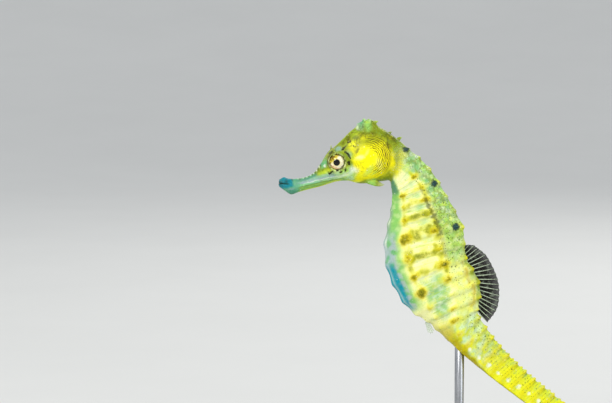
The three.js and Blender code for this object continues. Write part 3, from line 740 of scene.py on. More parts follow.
def add_spines(points, faces, marks, pale):
    """Joins the spines to the skin's mesh; each takes the markings of the skin it stands on."""
    front = np.flatnonzero(points[:, 0] < 2.0)[::3]
    for spine, spine_faces, share in head_spines():
        first = len(points)
        gap = ((spine[:, None] - points[front][None]) ** 2).sum(axis=-1)
        nearest = front[gap.argmin(axis=1)]
        fresh = {name: values[nearest] for name, values in marks.items()}
        light = 0.3 * ramp(0.45, 1.0, share)[:, None]
        fresh["paint"] = lerp(fresh["paint"], np.array(pale), light)
        # The spines take none of the skin's painted crease shade
        fresh["shade_and_lines"] = fresh["shade_and_lines"] * 0
        marks = {name: np.concatenate([values, fresh[name]]) for name, values in marks.items()}
        points = np.concatenate([points, spine])
        faces += [tuple(first + i for i in face) for face in spine_faces]
    return points, faces, marks


# ---------------------------------------------------------------- markings


class Paint:
    """Colours laid over one another at the points of a grid, each where its mask allows."""

    def __init__(self, hue, shape, *ground):
        self.hue = hue
        self.colours = np.broadcast_to(self.shade(*ground), (*shape, 3)).copy()

    def shade(self, first, second=None, share=0.0):
        """A named colour, or a blend of two."""
        low, high = np.array(self.hue[first]), np.array(self.hue[second or first])
        return lerp(low, high, np.asarray(share)[..., None])

    def lay(self, mask, *shade):
        self.colours += (self.shade(*shade) - self.colours) * np.clip(mask, 0, 1)[..., None]


# Patches of the head, in its own frame: distance along, height, half length, half height, slope
# in degrees, colour, a second colour with its share, and strength.
HEAD_PATCHES = (
    (14.9, 5.9, 0.7, 0.4, 20, "ochre", "olive", 0.3, 0.6),
    (16.0, 5.0, 0.8, 0.5, 10, "lavender", "mint", 0.3, 0.9),
    (18.2, 3.1, 0.5, 0.9, 0, "mint", "lavender", 0.5, 0.6),
    (19.4, 5.3, 1.3, 0.8, 35, "lemon", "lime", 0.2, 0.85),
    (22.6, 6.3, 1.2, 0.5, 15, "lemon", "olive", 0.3, 0.6),
    (19.1, 6.9, 0.6, 0.3, 40, "bark", "olive", 0.3, 0.85),
    (17.6, 6.1, 0.5, 0.25, 40, "bark", "olive", 0.4, 0.6),
    (22.2, 7.1, 1.1, 0.35, 10, "bark", "olive", 0.4, 0.75),
    (25.0, 6.9, 1.3, 0.4, -20, "bark", "olive", 0.4, 0.6),
    (20.3, 3.7, 1.0, 0.3, 38, "bark", "olive", 0.3, 0.85),
    (18.9, 2.6, 0.5, 0.9, 10, "lime", "olive", 0.35, 0.7),
    (20.5, 1.9, 1.0, 0.5, 10, "cream", "lemon", 0.3, 0.85),
    (21.0, 0.6, 1.6, 0.22, 10, "olive", "lemon", 0.5, 0.5),
    (22.4, 2.6, 1.1, 0.25, 45, "cream", "lemon", 0.5, 0.5),
    (18.4, -0.7, 1.0, 0.8, -25, "pearl", "mint", 0.2, 0.9),
    (16.3, -1.6, 2.0, 0.5, 8, "pearl", "mint", 0.35, 0.8),
    (14.0, -1.9, 2.2, 0.3, 8, "pearl", "mint", 0.5, 0.6),
    (16.2, -2.6, 1.8, 0.4, 4, "mint", "pearl", 0.35, 0.7),
    (19.2, -2.6, 1.2, 0.5, 0, "lemon", "lime", 0.35, 0.8),
    (17.4, -3.5, 1.2, 0.3, -8, "olive", "lime", 0.5, 0.8),
    (22.1, -1.7, 1.7, 0.7, 35, "mint", "lemon", 0.35, 0.7),
    (23.4, -2.7, 1.3, 0.3, 25, "mint", "lime", 0.45, 0.65),
    (18.8, -3.9, 1.5, 0.35, -5, "lemon", "lime", 0.25, 0.9),
    (20.6, -4.3, 0.8, 0.45, 0, "olive", "lime", 0.3, 0.8),
    (22.3, -4.7, 1.4, 0.6, 0, "mint", "lime", 0.35, 0.95),
    (24.8, -4.4, 1.5, 0.5, 5, "olive", "lime", 0.25, 0.8),
    (28.3, 2.9, 0.9, 0.55, -40, "bark", "olive", 0.6, 0.7),
    (28.0, -0.9, 1.2, 3.0, 0, "lemon", "ochre", 0.15, 0.9),
    (26.9, 1.3, 0.7, 1.7, 10, "ochre", "lemon", 0.6, 0.7),
    (24.9, -0.9, 0.7, 1.6, 10, "cream", "lemon", 0.6, 0.6),
    (23.3, 9.3, 1.8, 0.95, 0, "mint", "aqua", 0.5, 1.0),
    # painted highlight on the front of the coronet
    (21.9, 8.8, 0.45, 0.4, 0, "pearl", "mint", 0.3, 0.8),
    (20.9, 7.8, 1.2, 0.9, 45, "olive", "lime", 0.5, 0.9),
    (24.5, 8.4, 0.9, 0.9, -60, "mint", "lime", 0.3, 0.9),
    (26.0, 9.3, 1.3, 0.8, 0, "lime", "mint", 0.35, 0.9),
    (29.6, 4.9, 2.2, 1.1, -42, "olive", "moss", 0.4, 0.9),
    (28.5, 4.4, 0.28, 1.3, -12, "bark", "olive", 0.4, 0.7),
    (11.7, 2.2, 1.4, 0.8, 45, "mint", "aqua", 0.25, 1.0),
    (11.1, 2.2, 0.6, 0.2, 45, "aqua", "mint", 0.3, 0.8),
    # painted highlight on the bump before the eye
    (11.7, 1.6, 0.3, 0.36, 0, "pearl", "mint", 0.05, 0.95),
    (12.9, 3.0, 1.1, 0.2, 60, "moss", "olive", 0.4, 0.75),
    (11.9, 0.4, 1.5, 0.55, 15, "lime", "lemon", 0.25, 0.85),
    (11.0, 0.7, 0.3, 0.16, 30, "bark", "olive", 0.3, 0.7),
    (12.1, 0.1, 0.35, 0.16, 20, "bark", "olive", 0.3, 0.6),
    (13.2, -0.55, 0.6, 0.22, 30, "bark", "olive", 0.3, 0.8),
    (10.2, 0.1, 0.9, 0.45, 20, "lime", "olive", 0.25, 0.9),
)


def head_paint(grid, lay):
    a, h, v = grid.along, grid.height, grid.V
    wander = 0.35 * drift(grid.base, 2.4, 3)
    blotch = blotches(grid, 1.7, 12)
    lay(0.8 * blotch * hill(h, 4.0, 3.0), "olive", "lime", 0.5)
    lay(0.7 * fall(0.1, 0.45, v), "olive", "lime", 0.75)
    cheek = plateau(a + wander, 10.5, 19.0, 1.0) * fall(-0.6, 1.0, h + wander)
    lay(cheek, "lime", "mint", 0.45)
    lay(0.6 * cheek * ramp(0.3, 0.7, blotch), "mint", "pearl", 0.4)
    s = grid.gill + 0.06 * wander
    cover = fall(0.95, 1.3, s) * plateau(v, 0.5, 3.4, 0.3) * ramp(17.8, 19.2, a + wander)
    lay(cover * (1 - 0.75 * ramp(3.0, 6.0, h)), "lemon", "olive", 0.2)
    core = fall(0.55, 0.95, s) * ramp(18.8, 20.0, a + wander) * fall(3.4, 5.0, h)
    lay(core, "lemon")
    for ring in (0.42, 0.58, 0.7, 0.82, 0.93):
        arc = hill(s + 0.04 * wander, ring, 0.022) * cover * ramp(0.3, 0.6, blotch)
        lay(0.4 * arc, "olive", "ochre", 0.4)
    lay(0.8 * fall(-4.9, -4.0, h) * ramp(16.5, 18.5, a), "olive", "lime", 0.15)
    for along, height, length, depth, slope, first, second, share, strength in HEAD_PATCHES:
        out, beside = axes_turned(a - along, h - height, slope)
        out, beside = out + 0.5 * wander, beside + 0.25 * (blotch - 0.5)
        near = np.exp(-(((out / length) ** 2 + (beside / depth) ** 2) ** 1.4))
        lay(strength * near, first, second, share)


def snout_paint(grid, lay):
    a, h, v = grid.along, grid.height, grid.V
    wander = 0.4 * drift(grid.base, 1.8, 4)
    streak = drift(grid.base * np.array((0.35, 1.0, 1.6)), 0.8, 16)
    on = fall(8.6, 10.4, a + wander + 0.5 * (h + 1))
    top, floor = (keyed([(row[0], row[i]) for row in HEAD_STATIONS], a) for i in (1, 2))
    share = (h - floor) / (top - floor)
    lay(on, "mint", "aqua", 0.35)
    middle = plateau(h, -2.0, -0.35, 0.3) * plateau(a, 3.2, 14.0, 1.2)
    lay(0.8 * middle, "mint", "lavender", 0.5 + 0.3 * streak)
    lay(0.8 * hill(h + 0.18 * streak, -1.15, 0.24) * plateau(a, 3.4, 13.5, 1.0), "lavender")
    shine = hill(h + 0.1 * streak, -1.45, 0.12) * plateau(a, 6.0, 14.5, 0.8)
    lay(0.5 * shine, "pearl")
    lay(0.75 * hill(share, 0.86, 0.1) * plateau(a, 3.0, 9.4, 0.6), "aqua", "moss", 0.35)
    low = fall(-2.35, -1.95, h + 0.08 * streak) * plateau(a, 3.4, 16.0, 0.9)
    lay(0.95 * low, "olive", "mint", 0.5)
    lay(0.4 * low * ramp(0.0, 0.5, streak), "mint", "lime", 0.5)
    lay(0.6 * hill(h, -2.15, 0.14) * plateau(a, 3.4, 13.0, 0.9), "olive", "moss", 0.45)
    lay(0.7 * fall(0.04, 0.12, share) * plateau(a, 3.6, 15.0, 0.8), "lime", "lemon", 0.3)
    for along in BEADS:
        lay(0.75 * hill(a, along, 0.15) * fall(0.4, 0.8, v), "pearl")
        lay(0.75 * hill(a, along + 0.42, 0.18) * fall(0.5, 1.0, v), "moss", "olive", 0.3)
    lay(0.85 * fall(3.4, 5.2, a + wander), "aqua", "mint", 0.25)
    chin = hill(a, 2.2, 1.3) * fall(0.25, 0.5, share + 0.1 * wander)
    lay(0.75 * chin, "aqua", "moss", 0.35)
    lay(0.6 * hill(a, 2.2, 1.0) * hill(h + 0.2 * streak, -2.0, 0.24), "lavender")
    tip = fall(2.4, 3.7, a + 0.6 * wander) * ramp(-1.9, -1.2, h + 0.3 * wander)
    lay(0.98 * tip, "turquoise", "slate", 0.3)
    dark = hill(a, 1.5, 0.5) * hill(h, 0.0, 0.5) + hill(a, 0.1, 0.6) * hill(h, -0.1, 0.6)
    lay(0.65 * dark, "slate")
    lay(0.6 * hill(a, 3.1, 0.2) * hill(h, 0.2, 0.5), "moss")


def trunk_paint(grid, lay):
    u, v = grid.U, grid.V
    wander = drift(grid.base, 3.0, 5)
    blotch = blotches(grid, 1.9, 13)
    warm = blotches(grid, 4.0, 6)
    offset, _ = ring_offset(u, v)
    panel = 1 - ring_profile(offset, 0.34, 0.26)
    lay(0.5 * warm * ramp(2.5, 4.5, u), "cream", "lemon", 0.5)
    collar = fall(0.7, 1.7, u + 0.2 * wander) * plateau(v, 1.3, 2.9, 0.3)
    lay(0.95 * collar, "lemon", "olive", 0.25)
    shaded = hill(v, 2.3, 0.24) * plateau(u, 2.0, 7.4, 0.5) * (0.35 + 0.5 * hill(u, 5.0, 1.2))
    lay(0.9 * shaded * panel, "mint", "aqua", 0.3)
    grey = hill(v, 2.75, 0.14) * plateau(u, 2.4, 5.6, 0.4) * panel
    lay(0.35 * grey, "mint", "lavender", 0.6)
    low_panel = plateau(u + 0.2 * wander, 9.2, 12.0, 0.5)
    low_panel = low_panel * plateau(v + 0.1 * wander, 2.12, 2.85, 0.18)
    lay(0.8 * low_panel, "mint", "aqua", 0.25)
    lay(0.6 * low_panel * ramp(0.55, 0.8, blotch), "pearl", "mint", 0.3)
    upper = fall(1.68, 1.98, v + 0.1 * wander - 0.3 * (1 - ramp(2.0, 3.5, u)))
    on_back = upper * fall(8.4, 9.4, u) * ramp(0.5, 1.5, u + 0.2 * wander)
    lay(0.95 * on_back, "mint", "lime", 0.35 + 0.25 * ramp(3.5, 6.0, u))
    lay(0.35 * on_back * ramp(0.4, 0.8, blotch), "cream")
    gold = upper * ramp(8.4, 9.6, u) * fall(12.4, 13.6, u)
    lay(0.6 * gold, "lemon", "lime", 0.45)
    lay(0.7 * gold * ramp(0.3, 0.8, blotch), "cream", "mint", 0.2)
    hump = fall(1.04, 1.22, v + 0.1 * wander) * plateau(u, 8.2, 12.4, 0.4)
    lay(0.9 * hump, "olive", "lime", 0.4)
    lay(0.5 * hump * ramp(0.5, 0.8, blotch), "cream", "mint", 0.4)
    rust = hill(v + 0.1 * wander, 1.28, 0.1) * plateau(u, 8.6, 12.6, 0.5) * ramp(0.25, 0.5, blotch)
    lay(0.85 * rust, "ochre", "lemon", 0.3)
    lay(0.6 * fall(0.45, 0.85, v) * fall(8, 9, u), "lime", "olive", 0.6)
    beside = hill(v, 1.9, 0.16) * plateau(u, 3.4, 9.0, 0.5) * ramp(0.3, 0.6, blotch)
    lay(0.6 * beside, "olive", "lemon", 0.45)
    tips = hill(v, 0.95, 0.18) * ring_profile(offset, 0.26, 0.18) * ramp(1.5, 2.5, u)
    lay(0.9 * tips, "lemon", "olive", 0.3)
    nape = fall(0.5, 1.9, u) * fall(1.15, 1.6, v)
    lay(0.85 * nape, "olive", "mint", 0.25)
    keel = ramp(3.04, 3.38, v + 0.06 * wander) * fall(10.0, 10.9, u)
    lay(keel, "mint", "lime", 0.2)
    lay(0.5 * keel * ramp(0.5, 0.8, blotch) * ramp(3.4, 4.4, u), "cream", "mint", 0.4)
    throat = keel * fall(2.6, 4.4, u + 0.3 * wander)
    lay(0.9 * throat, "olive", "aqua", 0.6)
    lay(0.3 * throat * ramp(0.3, 0.7, blotch), "moss", "aqua", 0.6)
    front = ramp(3.6, 3.9, v) * plateau(u, 4.6, 7.6, 0.5)
    lay(0.7 * keel * front, "lavender", "olive", 0.3)
    low = keel * ramp(6.2, 7.2, u + 0.3 * wander)
    lay(0.8 * low * ramp(3.3, 3.6, v + 0.05 * wander), "aqua", "mint", 0.4)
    bloom = keel * ramp(3.3, 3.48, v + 0.05 * wander) * ramp(6.0, 7.0, u)
    lay(0.9 * bloom * ramp(0.15, 0.6, blotch), "lavender", "pearl", 0.15)
    edge = keel * ramp(3.46, 3.58, v + 0.06 * wander - 0.12 * ramp(9, 10, u))
    edge = edge * plateau(u + 0.2 * wander, 7.9, 10.5, 0.4)
    lay(edge, "turquoise")
    lay(0.3 * edge * ramp(0.6, 0.8, blotch), "lavender", "turquoise", 0.5)
    glint = hill(v, 3.86, 0.05) * (hill(u, 5.7, 0.25) + hill(u, 6.8, 0.25))
    lay(0.7 * glint + 0.3 * hill(v, 3.84, 0.05) * edge, "pearl")


def tail_paint(grid, lay):
    u, v = grid.U, grid.V
    wander = drift(grid.base, 2.6, 7)
    blotch = blotches(grid, 1.5, 14)
    offset, _ = ring_offset(u, v)
    lay(0.9 * ramp(0.3, 0.75, blotch), "lime", "lemon", 0.4)
    lay(0.95 * ramp(14.5, 17.5, u + wander), "lemon", "lime", 0.25)
    fresh = plateau(u, 12.6, 17.0, 0.8) * plateau(v, 1.0, 2.1, 0.2) * ramp(0.4, 0.7, 1 - blotch)
    lay(0.6 * fresh, "mint", "pearl", 0.6)
    upper = fall(1.05, 1.45, v) * ramp(13, 16, u)
    lay(0.7 * upper, "lime", "lemon", 0.35)
    lay(0.6 * upper * ramp(0.58, 0.85, blotch), "mint", "lavender", 0.4)
    side = plateau(v, 1.2, 2.0, 0.2) * ramp(15, 17, u)
    lay(0.6 * side * ring_profile(offset, 0.2, 0.14), "lemon", "ochre", 0.35)
    lay(0.9 * ramp(1.9, 2.35, v + 0.1 * wander), "lemon", "olive", 0.6)
    lay(0.7 * ramp(2.2, 2.6, v + 0.1 * wander), "ochre", "lemon", 0.45)
    tips = hill(v, 1, 0.16) * ring_profile(offset, 0.2, 0.14)
    lay(0.85 * tips, "lemon", "ochre", 0.5)


BAND_STRENGTH = ((2, 0.35), (4, 0.55), (6, 0.85), (7, 1.3), (8, 0.95), (9, 0.6), (11, 0.35),
                 (50, 0.35))


def ring_bands(grid):
    """Soft olive bands over the ring edges, strongest beside the ridges, and along two ridges."""
    u, v = grid.U, grid.V
    offset, ring = ring_offset(u, v)
    shaken = offset + 0.08 * drift(grid.base, 1.6, 8)
    band = keyed(BAND_STRENGTH, ring) * ring_profile(shaken, 0.34, 0.24)
    beside = 0.5 + 0.5 * np.cos(2 * math.pi * v)
    flank = plateau(v, 1.85, 3.12, 0.12)
    strength = flank * lerp(0.62, 1.0, beside) + 0.12 * (1 - flank)
    strength = np.maximum(strength, 1.0 * hill(v, 2.5, 0.22) * plateau(u, 5.2, 7.4, 0.4))
    strength = lerp(strength, 0.6, ramp(13, 15, u)) * (1 - 0.8 * ramp(3.2, 3.5, v) * (u < 13))
    patchy = np.clip(0.95 + 0.6 * drift(grid.base, 2.6, 9), 0.35, 1.25)
    lateral = 0.6 * hill(v, 1.98, 0.14) * plateau(u, 2.0, 9.6, 0.6)
    inferior = 0.6 * hill(v, 3.0, 0.15) * plateau(u, 3.4, 9.4, 0.6)
    spread = np.maximum.reduce([band * strength, lateral, inferior])
    neck = fall(2.4, 3.6, u) * plateau(v, 2.15, 3.3, 0.15)
    return np.clip(spread * patchy, 0, 1) * ramp(0.8, 2.2, u) * (1 - 0.8 * neck)


KNOB_SPOTS = (
    # ridge place, size in mm, and strength by ring
    (2, 1.2, ((1, 0), (2, 0.3), (3, 0.75), (4, 0.6), (5, 0.7), (6, 0.35), (7, 0.7), (8, 0.55), (9, 1.0),
              (10, 0.8), (11, 0.25), (12, 0.6), (13, 0.75), (14, 0.5), (15, 0.75), (16, 0))),
    (3, 1.1, ((3, 0), (4, 0.85), (5, 0.5), (6, 0.75), (7, 1.2), (8, 0.85), (9, 0.85), (10, 1.15),
              (11, 0.55), (12, 0))),
    (1, 0.7, ((8, 0), (9, 0.35), (50, 0.35))),
)


def knob_spots(grid):
    u, v = grid.U, grid.V
    offset, ring = ring_offset(u, v)
    stations = stations_at(grid.u)
    depth = np.linalg.norm(stations[:, BACK] - stations[:, KEEL], axis=1)
    spots = np.zeros_like(u)
    for place, size, strengths in KNOB_SPOTS:
        across = (v - place) * depth[:, None] / 4
        strength = keyed(strengths, ring)
        reach = size * (0.55 + 0.45 * strength)
        spot = strength * np.exp(-(((offset * 3.6) ** 2 + across**2) / reach**2))
        spots = np.maximum(spots, spot)
    return spots


# The three spots of each side: ring number, ridge place and radius.
THREE_SPOTS = ((0.65, 1.14, 0.72), (3.85, 1.29, 0.85), (6.8, 1.29, 0.95))
WHITE_SPOT_RINGS = (15, 27)
WHITE_SPOT_PLACES = ((15, 1.95), (17, 1.76), (19, 1.68), (21, 1.6))
EYE_DASHES = (
    # level and upright distance from the eye's middle, slope in degrees, length and width
    (1.7, 3.35, 45, 1.1, 0.36),
    (2.5, 2.15, -42, 0.95, 0.42),
    (3.1, 1.15, -60, 0.35, 0.3),
    (2.95, -0.3, -80, 0.4, 0.62),
    (2.15, -1.95, 70, 0.45, 0.46),
    (0.95, -2.5, 20, 0.4, 0.44),
    (-1.5, -2.6, 38, 1.0, 0.44),
    (-0.1, -2.0, 10, 0.3, 0.3),
    (-1.45, 2.3, 40, 0.7, 0.36),
    (3.1, 4.9, 30, 0.8, 0.18),
    (4.3, 3.9, -30, 0.5, 0.18),
)


def spot_distance(grid, spots):
    """Signed distance, in mm, to the nearest spot of either side: under 0 inside it."""
    nearest = np.full(grid.U.shape, 9.0)
    for u, v, radius in spots:
        for sense in (-1.0, 1.0):
            centre = surface_point(u, v, sense)[0]
            nearest = np.minimum(nearest, np.linalg.norm(grid.base - centre, axis=-1) - radius)
    return nearest


def eye_dashes(grid):
    """Signed distance to the dark dashes round the eye."""
    x, z = head_point(*EYE_PLACE)
    across, up = grid.base[..., 0] - x, grid.base[..., 2] - z
    nearest = np.full(across.shape, 9.0)
    for level, upright, slope, length, width in EYE_DASHES:
        out, beside = axes_turned(across - level, up - upright, slope)
        past = np.maximum(np.abs(out) - length / 2, 0)
        nearest = np.minimum(nearest, np.hypot(past, beside) - width / 2)
    return np.where(grid.V > 0.3, nearest, 9.0)


def speck_density(grid):
    u, v = grid.U, grid.V
    back = fall(1.75, 2.0, v) * plateau(u, 4.6, 9.0, 0.6)
    upper = 0.3 * fall(1.7, 2.0, v) * ramp(0.5, 2.0, u)
    tail = (0.4 + 0.5 * hill(u, 15, 2)) * fall(1.2, 1.7, v) * ramp(12, 14, u)
    ridge = 0.9 * hill(v, 1.9, 0.12) * plateau(u, 2.5, 8.6, 0.5)
    hump = 0.9 * fall(1.0, 1.3, v) * plateau(u, 9.0, 13.0, 0.5)
    flank = 0.05 * ramp(0.5, 1.5, u)
    return np.clip(np.maximum.reduce([back, upper, tail, ridge, hump, flank]), 0, 1)


def crease_shade_and_lines(grid):
    """Painted shade where the skin is creased behind each ring's edge, with dark lines along the
    lateral ridge and beside the back fin.
    """
    u, v = grid.U, grid.V
    offset, _ = ring_offset(u, v)
    step = hill(offset, 0.26, 0.08) * ramp(1.2, 2.4, u) * lerp(0.3, 0.14, ramp(12, 15, u))
    line = hill(v + 0.05 * drift(grid.base, 1.2, 15), keyed(((5.0, 1.98), (6.5, 1.83)), u), 0.065)
    lateral = 1.4 * line * plateau(u, 4.7, 6.9, 0.25) + 0.5 * line * plateau(u, 3.4, 8.4, 0.4)
    beside_fin = 0.5 * hill(v, 1.0, 0.12) * plateau(u, 9.5, 12.5, 0.4)
    return np.clip(step * fall(3.1, 3.5, v) + lateral + beside_fin, 0, 1)


def cool_cells(grid):
    """How strongly the cool cell pattern of the back shows."""
    u, v = grid.U, grid.V
    back = fall(1.7, 1.95, v) * plateau(u, 0.6, 6.6, 0.7) * ramp(0.4, 0.8, v)
    fading = 0.4 * fall(1.6, 1.9, v) * plateau(u, 6.0, 9.0, 0.6)
    tail = 0.45 * plateau(v, 0.8, 1.8, 0.2) * plateau(u, 12.5, 18, 1.0)
    return np.maximum.reduce([back, fading, tail])


def skin_marks(grid, settings):
    """Every attribute that the skin's material reads, for one grid."""
    hue = palette(settings)
    head = Paint(hue, grid.U.shape, "olive", "lime", 0.12)
    head_paint(grid, head.lay)
    snout_paint(grid, head.lay)
    trunk = Paint(hue, grid.U.shape, "cream")
    trunk_paint(grid, trunk.lay)
    tail = Paint(hue, grid.U.shape, "cream", "mint", 0.5)
    tail_paint(grid, tail.lay)
    paint = lerp(head.colours, trunk.colours, ramp(-0.4, 1.0, grid.U)[..., None])
    paint = lerp(paint, tail.colours, ramp(11.6, 14.2, grid.U)[..., None])
    on_head = fall(-0.5, 0.5, grid.U)
    a, h = grid.along, grid.height
    x, z = head_point(*EYE_PLACE)
    turn = np.degrees(np.arctan2(grid.base[..., 2] - z, grid.base[..., 0] - x)) % 360
    # Painted shade, in brown, in the hollow before the orbit's rim
    front_rim_shade = plateau(turn, 110, 225, 15) * hill(grid.orbit, 2.35, 0.2)
    # Painted shade in the parting of the lips, the gill slit and the crease round the eyeball
    head_crease_shade = np.maximum.reduce([
        grid.gape, grid.slit * 0.35, hill(grid.orbit, 1.84, 0.1) * 0.8 * (grid.V < 3.4),
    ])
    striae = plateau(grid.gill, 0.42, 1.1, 0.06) * ramp(22.0, 24.2, a) * plateau(h, -3.2, 6.6, 0.8)
    crown = ramp(15.5, 18.5, a) * ramp(1.5, 3.5, h) * ramp(0.75, 1.0, grid.gill)
    wisp = np.maximum(crown, 0.45 * plateau(a, 12, 20, 1.5) * plateau(h, -3.0, 4.0, 1.0))
    whites = [(ring + 0.38, keyed(WHITE_SPOT_PLACES, ring), 0.48 + 0.08 * (ring % 3))
              for ring in range(*WHITE_SPOT_RINGS)]
    keel = ramp(3.1, 3.3, grid.V) * (1 - on_head) * fall(11, 12, grid.U)
    calm = 0.85 * on_head * fall(8, 13, a) + keel
    calm = calm + 0.75 * on_head * fall(0.75, 1.1, grid.gill) + 0.45 * on_head
    return {
        "paint": paint,
        "band": ring_bands(grid),
        "knob": knob_spots(grid),
        "slate_spot": spot_distance(grid, THREE_SPOTS),
        "white_spot": spot_distance(grid, whites),
        "dash": np.where(on_head > 0.5, eye_dashes(grid), 9.0),
        "speck": speck_density(grid) * (1 - on_head) + 0.05 * on_head,
        # Painted shade in the creases and the mouth, with the dark lines of the flank
        "shade_and_lines": np.clip(crease_shade_and_lines(grid) * (1 - on_head) + head_crease_shade * on_head, 0, 1),
        "cool": cool_cells(grid),
        "gill": grid.gill,
        "striae": striae * on_head,
        "wisp": wisp * on_head * (a > 11),
        "orbit": np.where(on_head > 0.5, grid.orbit, 9.0),
        "socket": front_rim_shade * on_head,
        "calm": np.clip(calm, 0, 1),
        "streak": plateau(grid.V, 1.9, 3.1, 0.15) * plateau(grid.U, 2.0, 12.6, 0.8),
        "hatch": plateau(grid.V, 0.9, 1.8, 0.2) * plateau(grid.U, 16.5, 29, 1.5),
        "flow": np.stack([grid.U, grid.V, grid.SIDE * np.ones_like(grid.U)], axis=-1),
    }


# ---------------------------------------------------------------- skin mesh

# The opening of the mouth: share of the lips' width, share of their height, and depth inside.
MOUTH_ROWS = ((0.94, 0.92, -0.14), (0.78, 0.66, -0.2), (0.62, 0.42, 0.05), (0.5, 0.28, 0.6),
              (0.34, 0.16, 1.2))
# How many of these rows, from the innermost, take painted shade
SHADED_MOUTH_ROWS = 3

# The rounded end of the tail: share of the last ring, and distance past it.
TAIL_CAP_ROWS = ((0.8, 0.25), (0.45, 0.45))
TAIL_CAP_TIP = 0.6


def mouth_rows(grid):
    """Rings of points that roll over the lips and into the mouth, innermost first."""
    lip = grid.points[0]
    middle = lip.mean(axis=0)
    rise = (lip - middle) @ HEAD_UP
    rows = []
    for wide, high, inside in MOUTH_ROWS:
        row = middle + np.outer(rise * high, HEAD_UP) + inside * HEAD_BACK
        row += np.outer((lip - middle) @ HEAD_BACK, HEAD_BACK) * 0.6
        row[:, 1] = lip[:, 1] * wide
        rows.append(row)
    return rows[::-1]


def skin_mesh(front, tail, marks_front, marks_tail):
    """Joins the two grids, whose columns differ two to one, and closes both ends."""
    columns = front.points.shape[1]
    half = columns // 2
    mouth = mouth_rows(front)
    end, before = tail.points[-1], tail.points[-2]
    middle = end.mean(axis=0)
    way = unit(middle - before.mean(axis=0))
    cap = [middle + (end - middle) * size + way * ahead for size, ahead in TAIL_CAP_ROWS]
    points = np.concatenate([*mouth, *front.points, *tail.points, *cap])
    front_rows = len(mouth) + len(front.points)
    seam = (front_rows - 1) * columns
    first = seam + columns
    faces = grid_faces(front_rows, columns).tolist()
    faces += grid_faces(len(tail.points) + len(cap), half, first).tolist()
    for j in range(half):
        a, b, c = seam + 2 * j, seam + 2 * j + 1, seam + (2 * j + 2) % columns
        near, far = first + j, first + (j + 1) % half
        faces += [(a, b, near), (b, far, near), (b, c, far)]
    throat = len(points)
    last = throat - half
    points = np.concatenate([points, [mouth[0].mean(axis=0)], [middle + way * TAIL_CAP_TIP]])
    faces += [(throat, (j + 1) % columns, j) for j in range(columns)]
    faces += [(throat + 1, last + j, last + (j + 1) % half) for j in range(half)]

    marks = {}
    for name, values in marks_front.items():
        ends = marks_tail[name]
        shape = (-1, *values.shape[2:])
        parts = [*[values[0]] * len(mouth), values, ends, *[ends[-1]] * len(cap)]
        parts = [part.reshape(shape) for part in parts]
        marks[name] = np.concatenate([*parts, values[0][:1], ends[-1][:1]])
    # The innermost mouth rows and the throat get full painted shade
    inside = np.zeros(len(points))
    inside[: SHADED_MOUTH_ROWS * columns] = 1
    inside[throat] = 1
    marks["shade_and_lines"] = np.maximum(marks["shade_and_lines"], inside)
    return points, faces, marks


def put_marks(mesh, marks):
    """Stores numbers or colours at the points of a mesh."""
    for key, values in marks.items():
        kind, field = ("FLOAT_COLOR", "color") if values.ndim == 2 else ("FLOAT", "value")
        if values.ndim == 2:
            values = np.column_stack([values, np.ones(len(values))])
        layer = mesh.attributes.new(key, kind, "POINT")
        layer.data.foreach_set(field, values.astype(np.float32).ravel())


def link_object(name, data):
    made = bpy.data.objects.new(name, data)
    bpy.context.scene.collection.objects.link(made)
    return made


def mesh_object(name, points, faces, material, marks=None):
    mesh = bpy.data.meshes.new(name)
    mesh.from_pydata((np.asarray(points) * MM).tolist(), [], faces)
    put_marks(mesh, marks or {})
    mesh.polygons.foreach_set("use_smooth", [True] * len(mesh.polygons))
    mesh.materials.append(material)
    mesh.update()
    return link_object(name, mesh)


def finish_piece(piece, slot, *nodes):
    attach(piece, BODY)
    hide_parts(*nodes)


# ---------------------------------------------------------------- materials


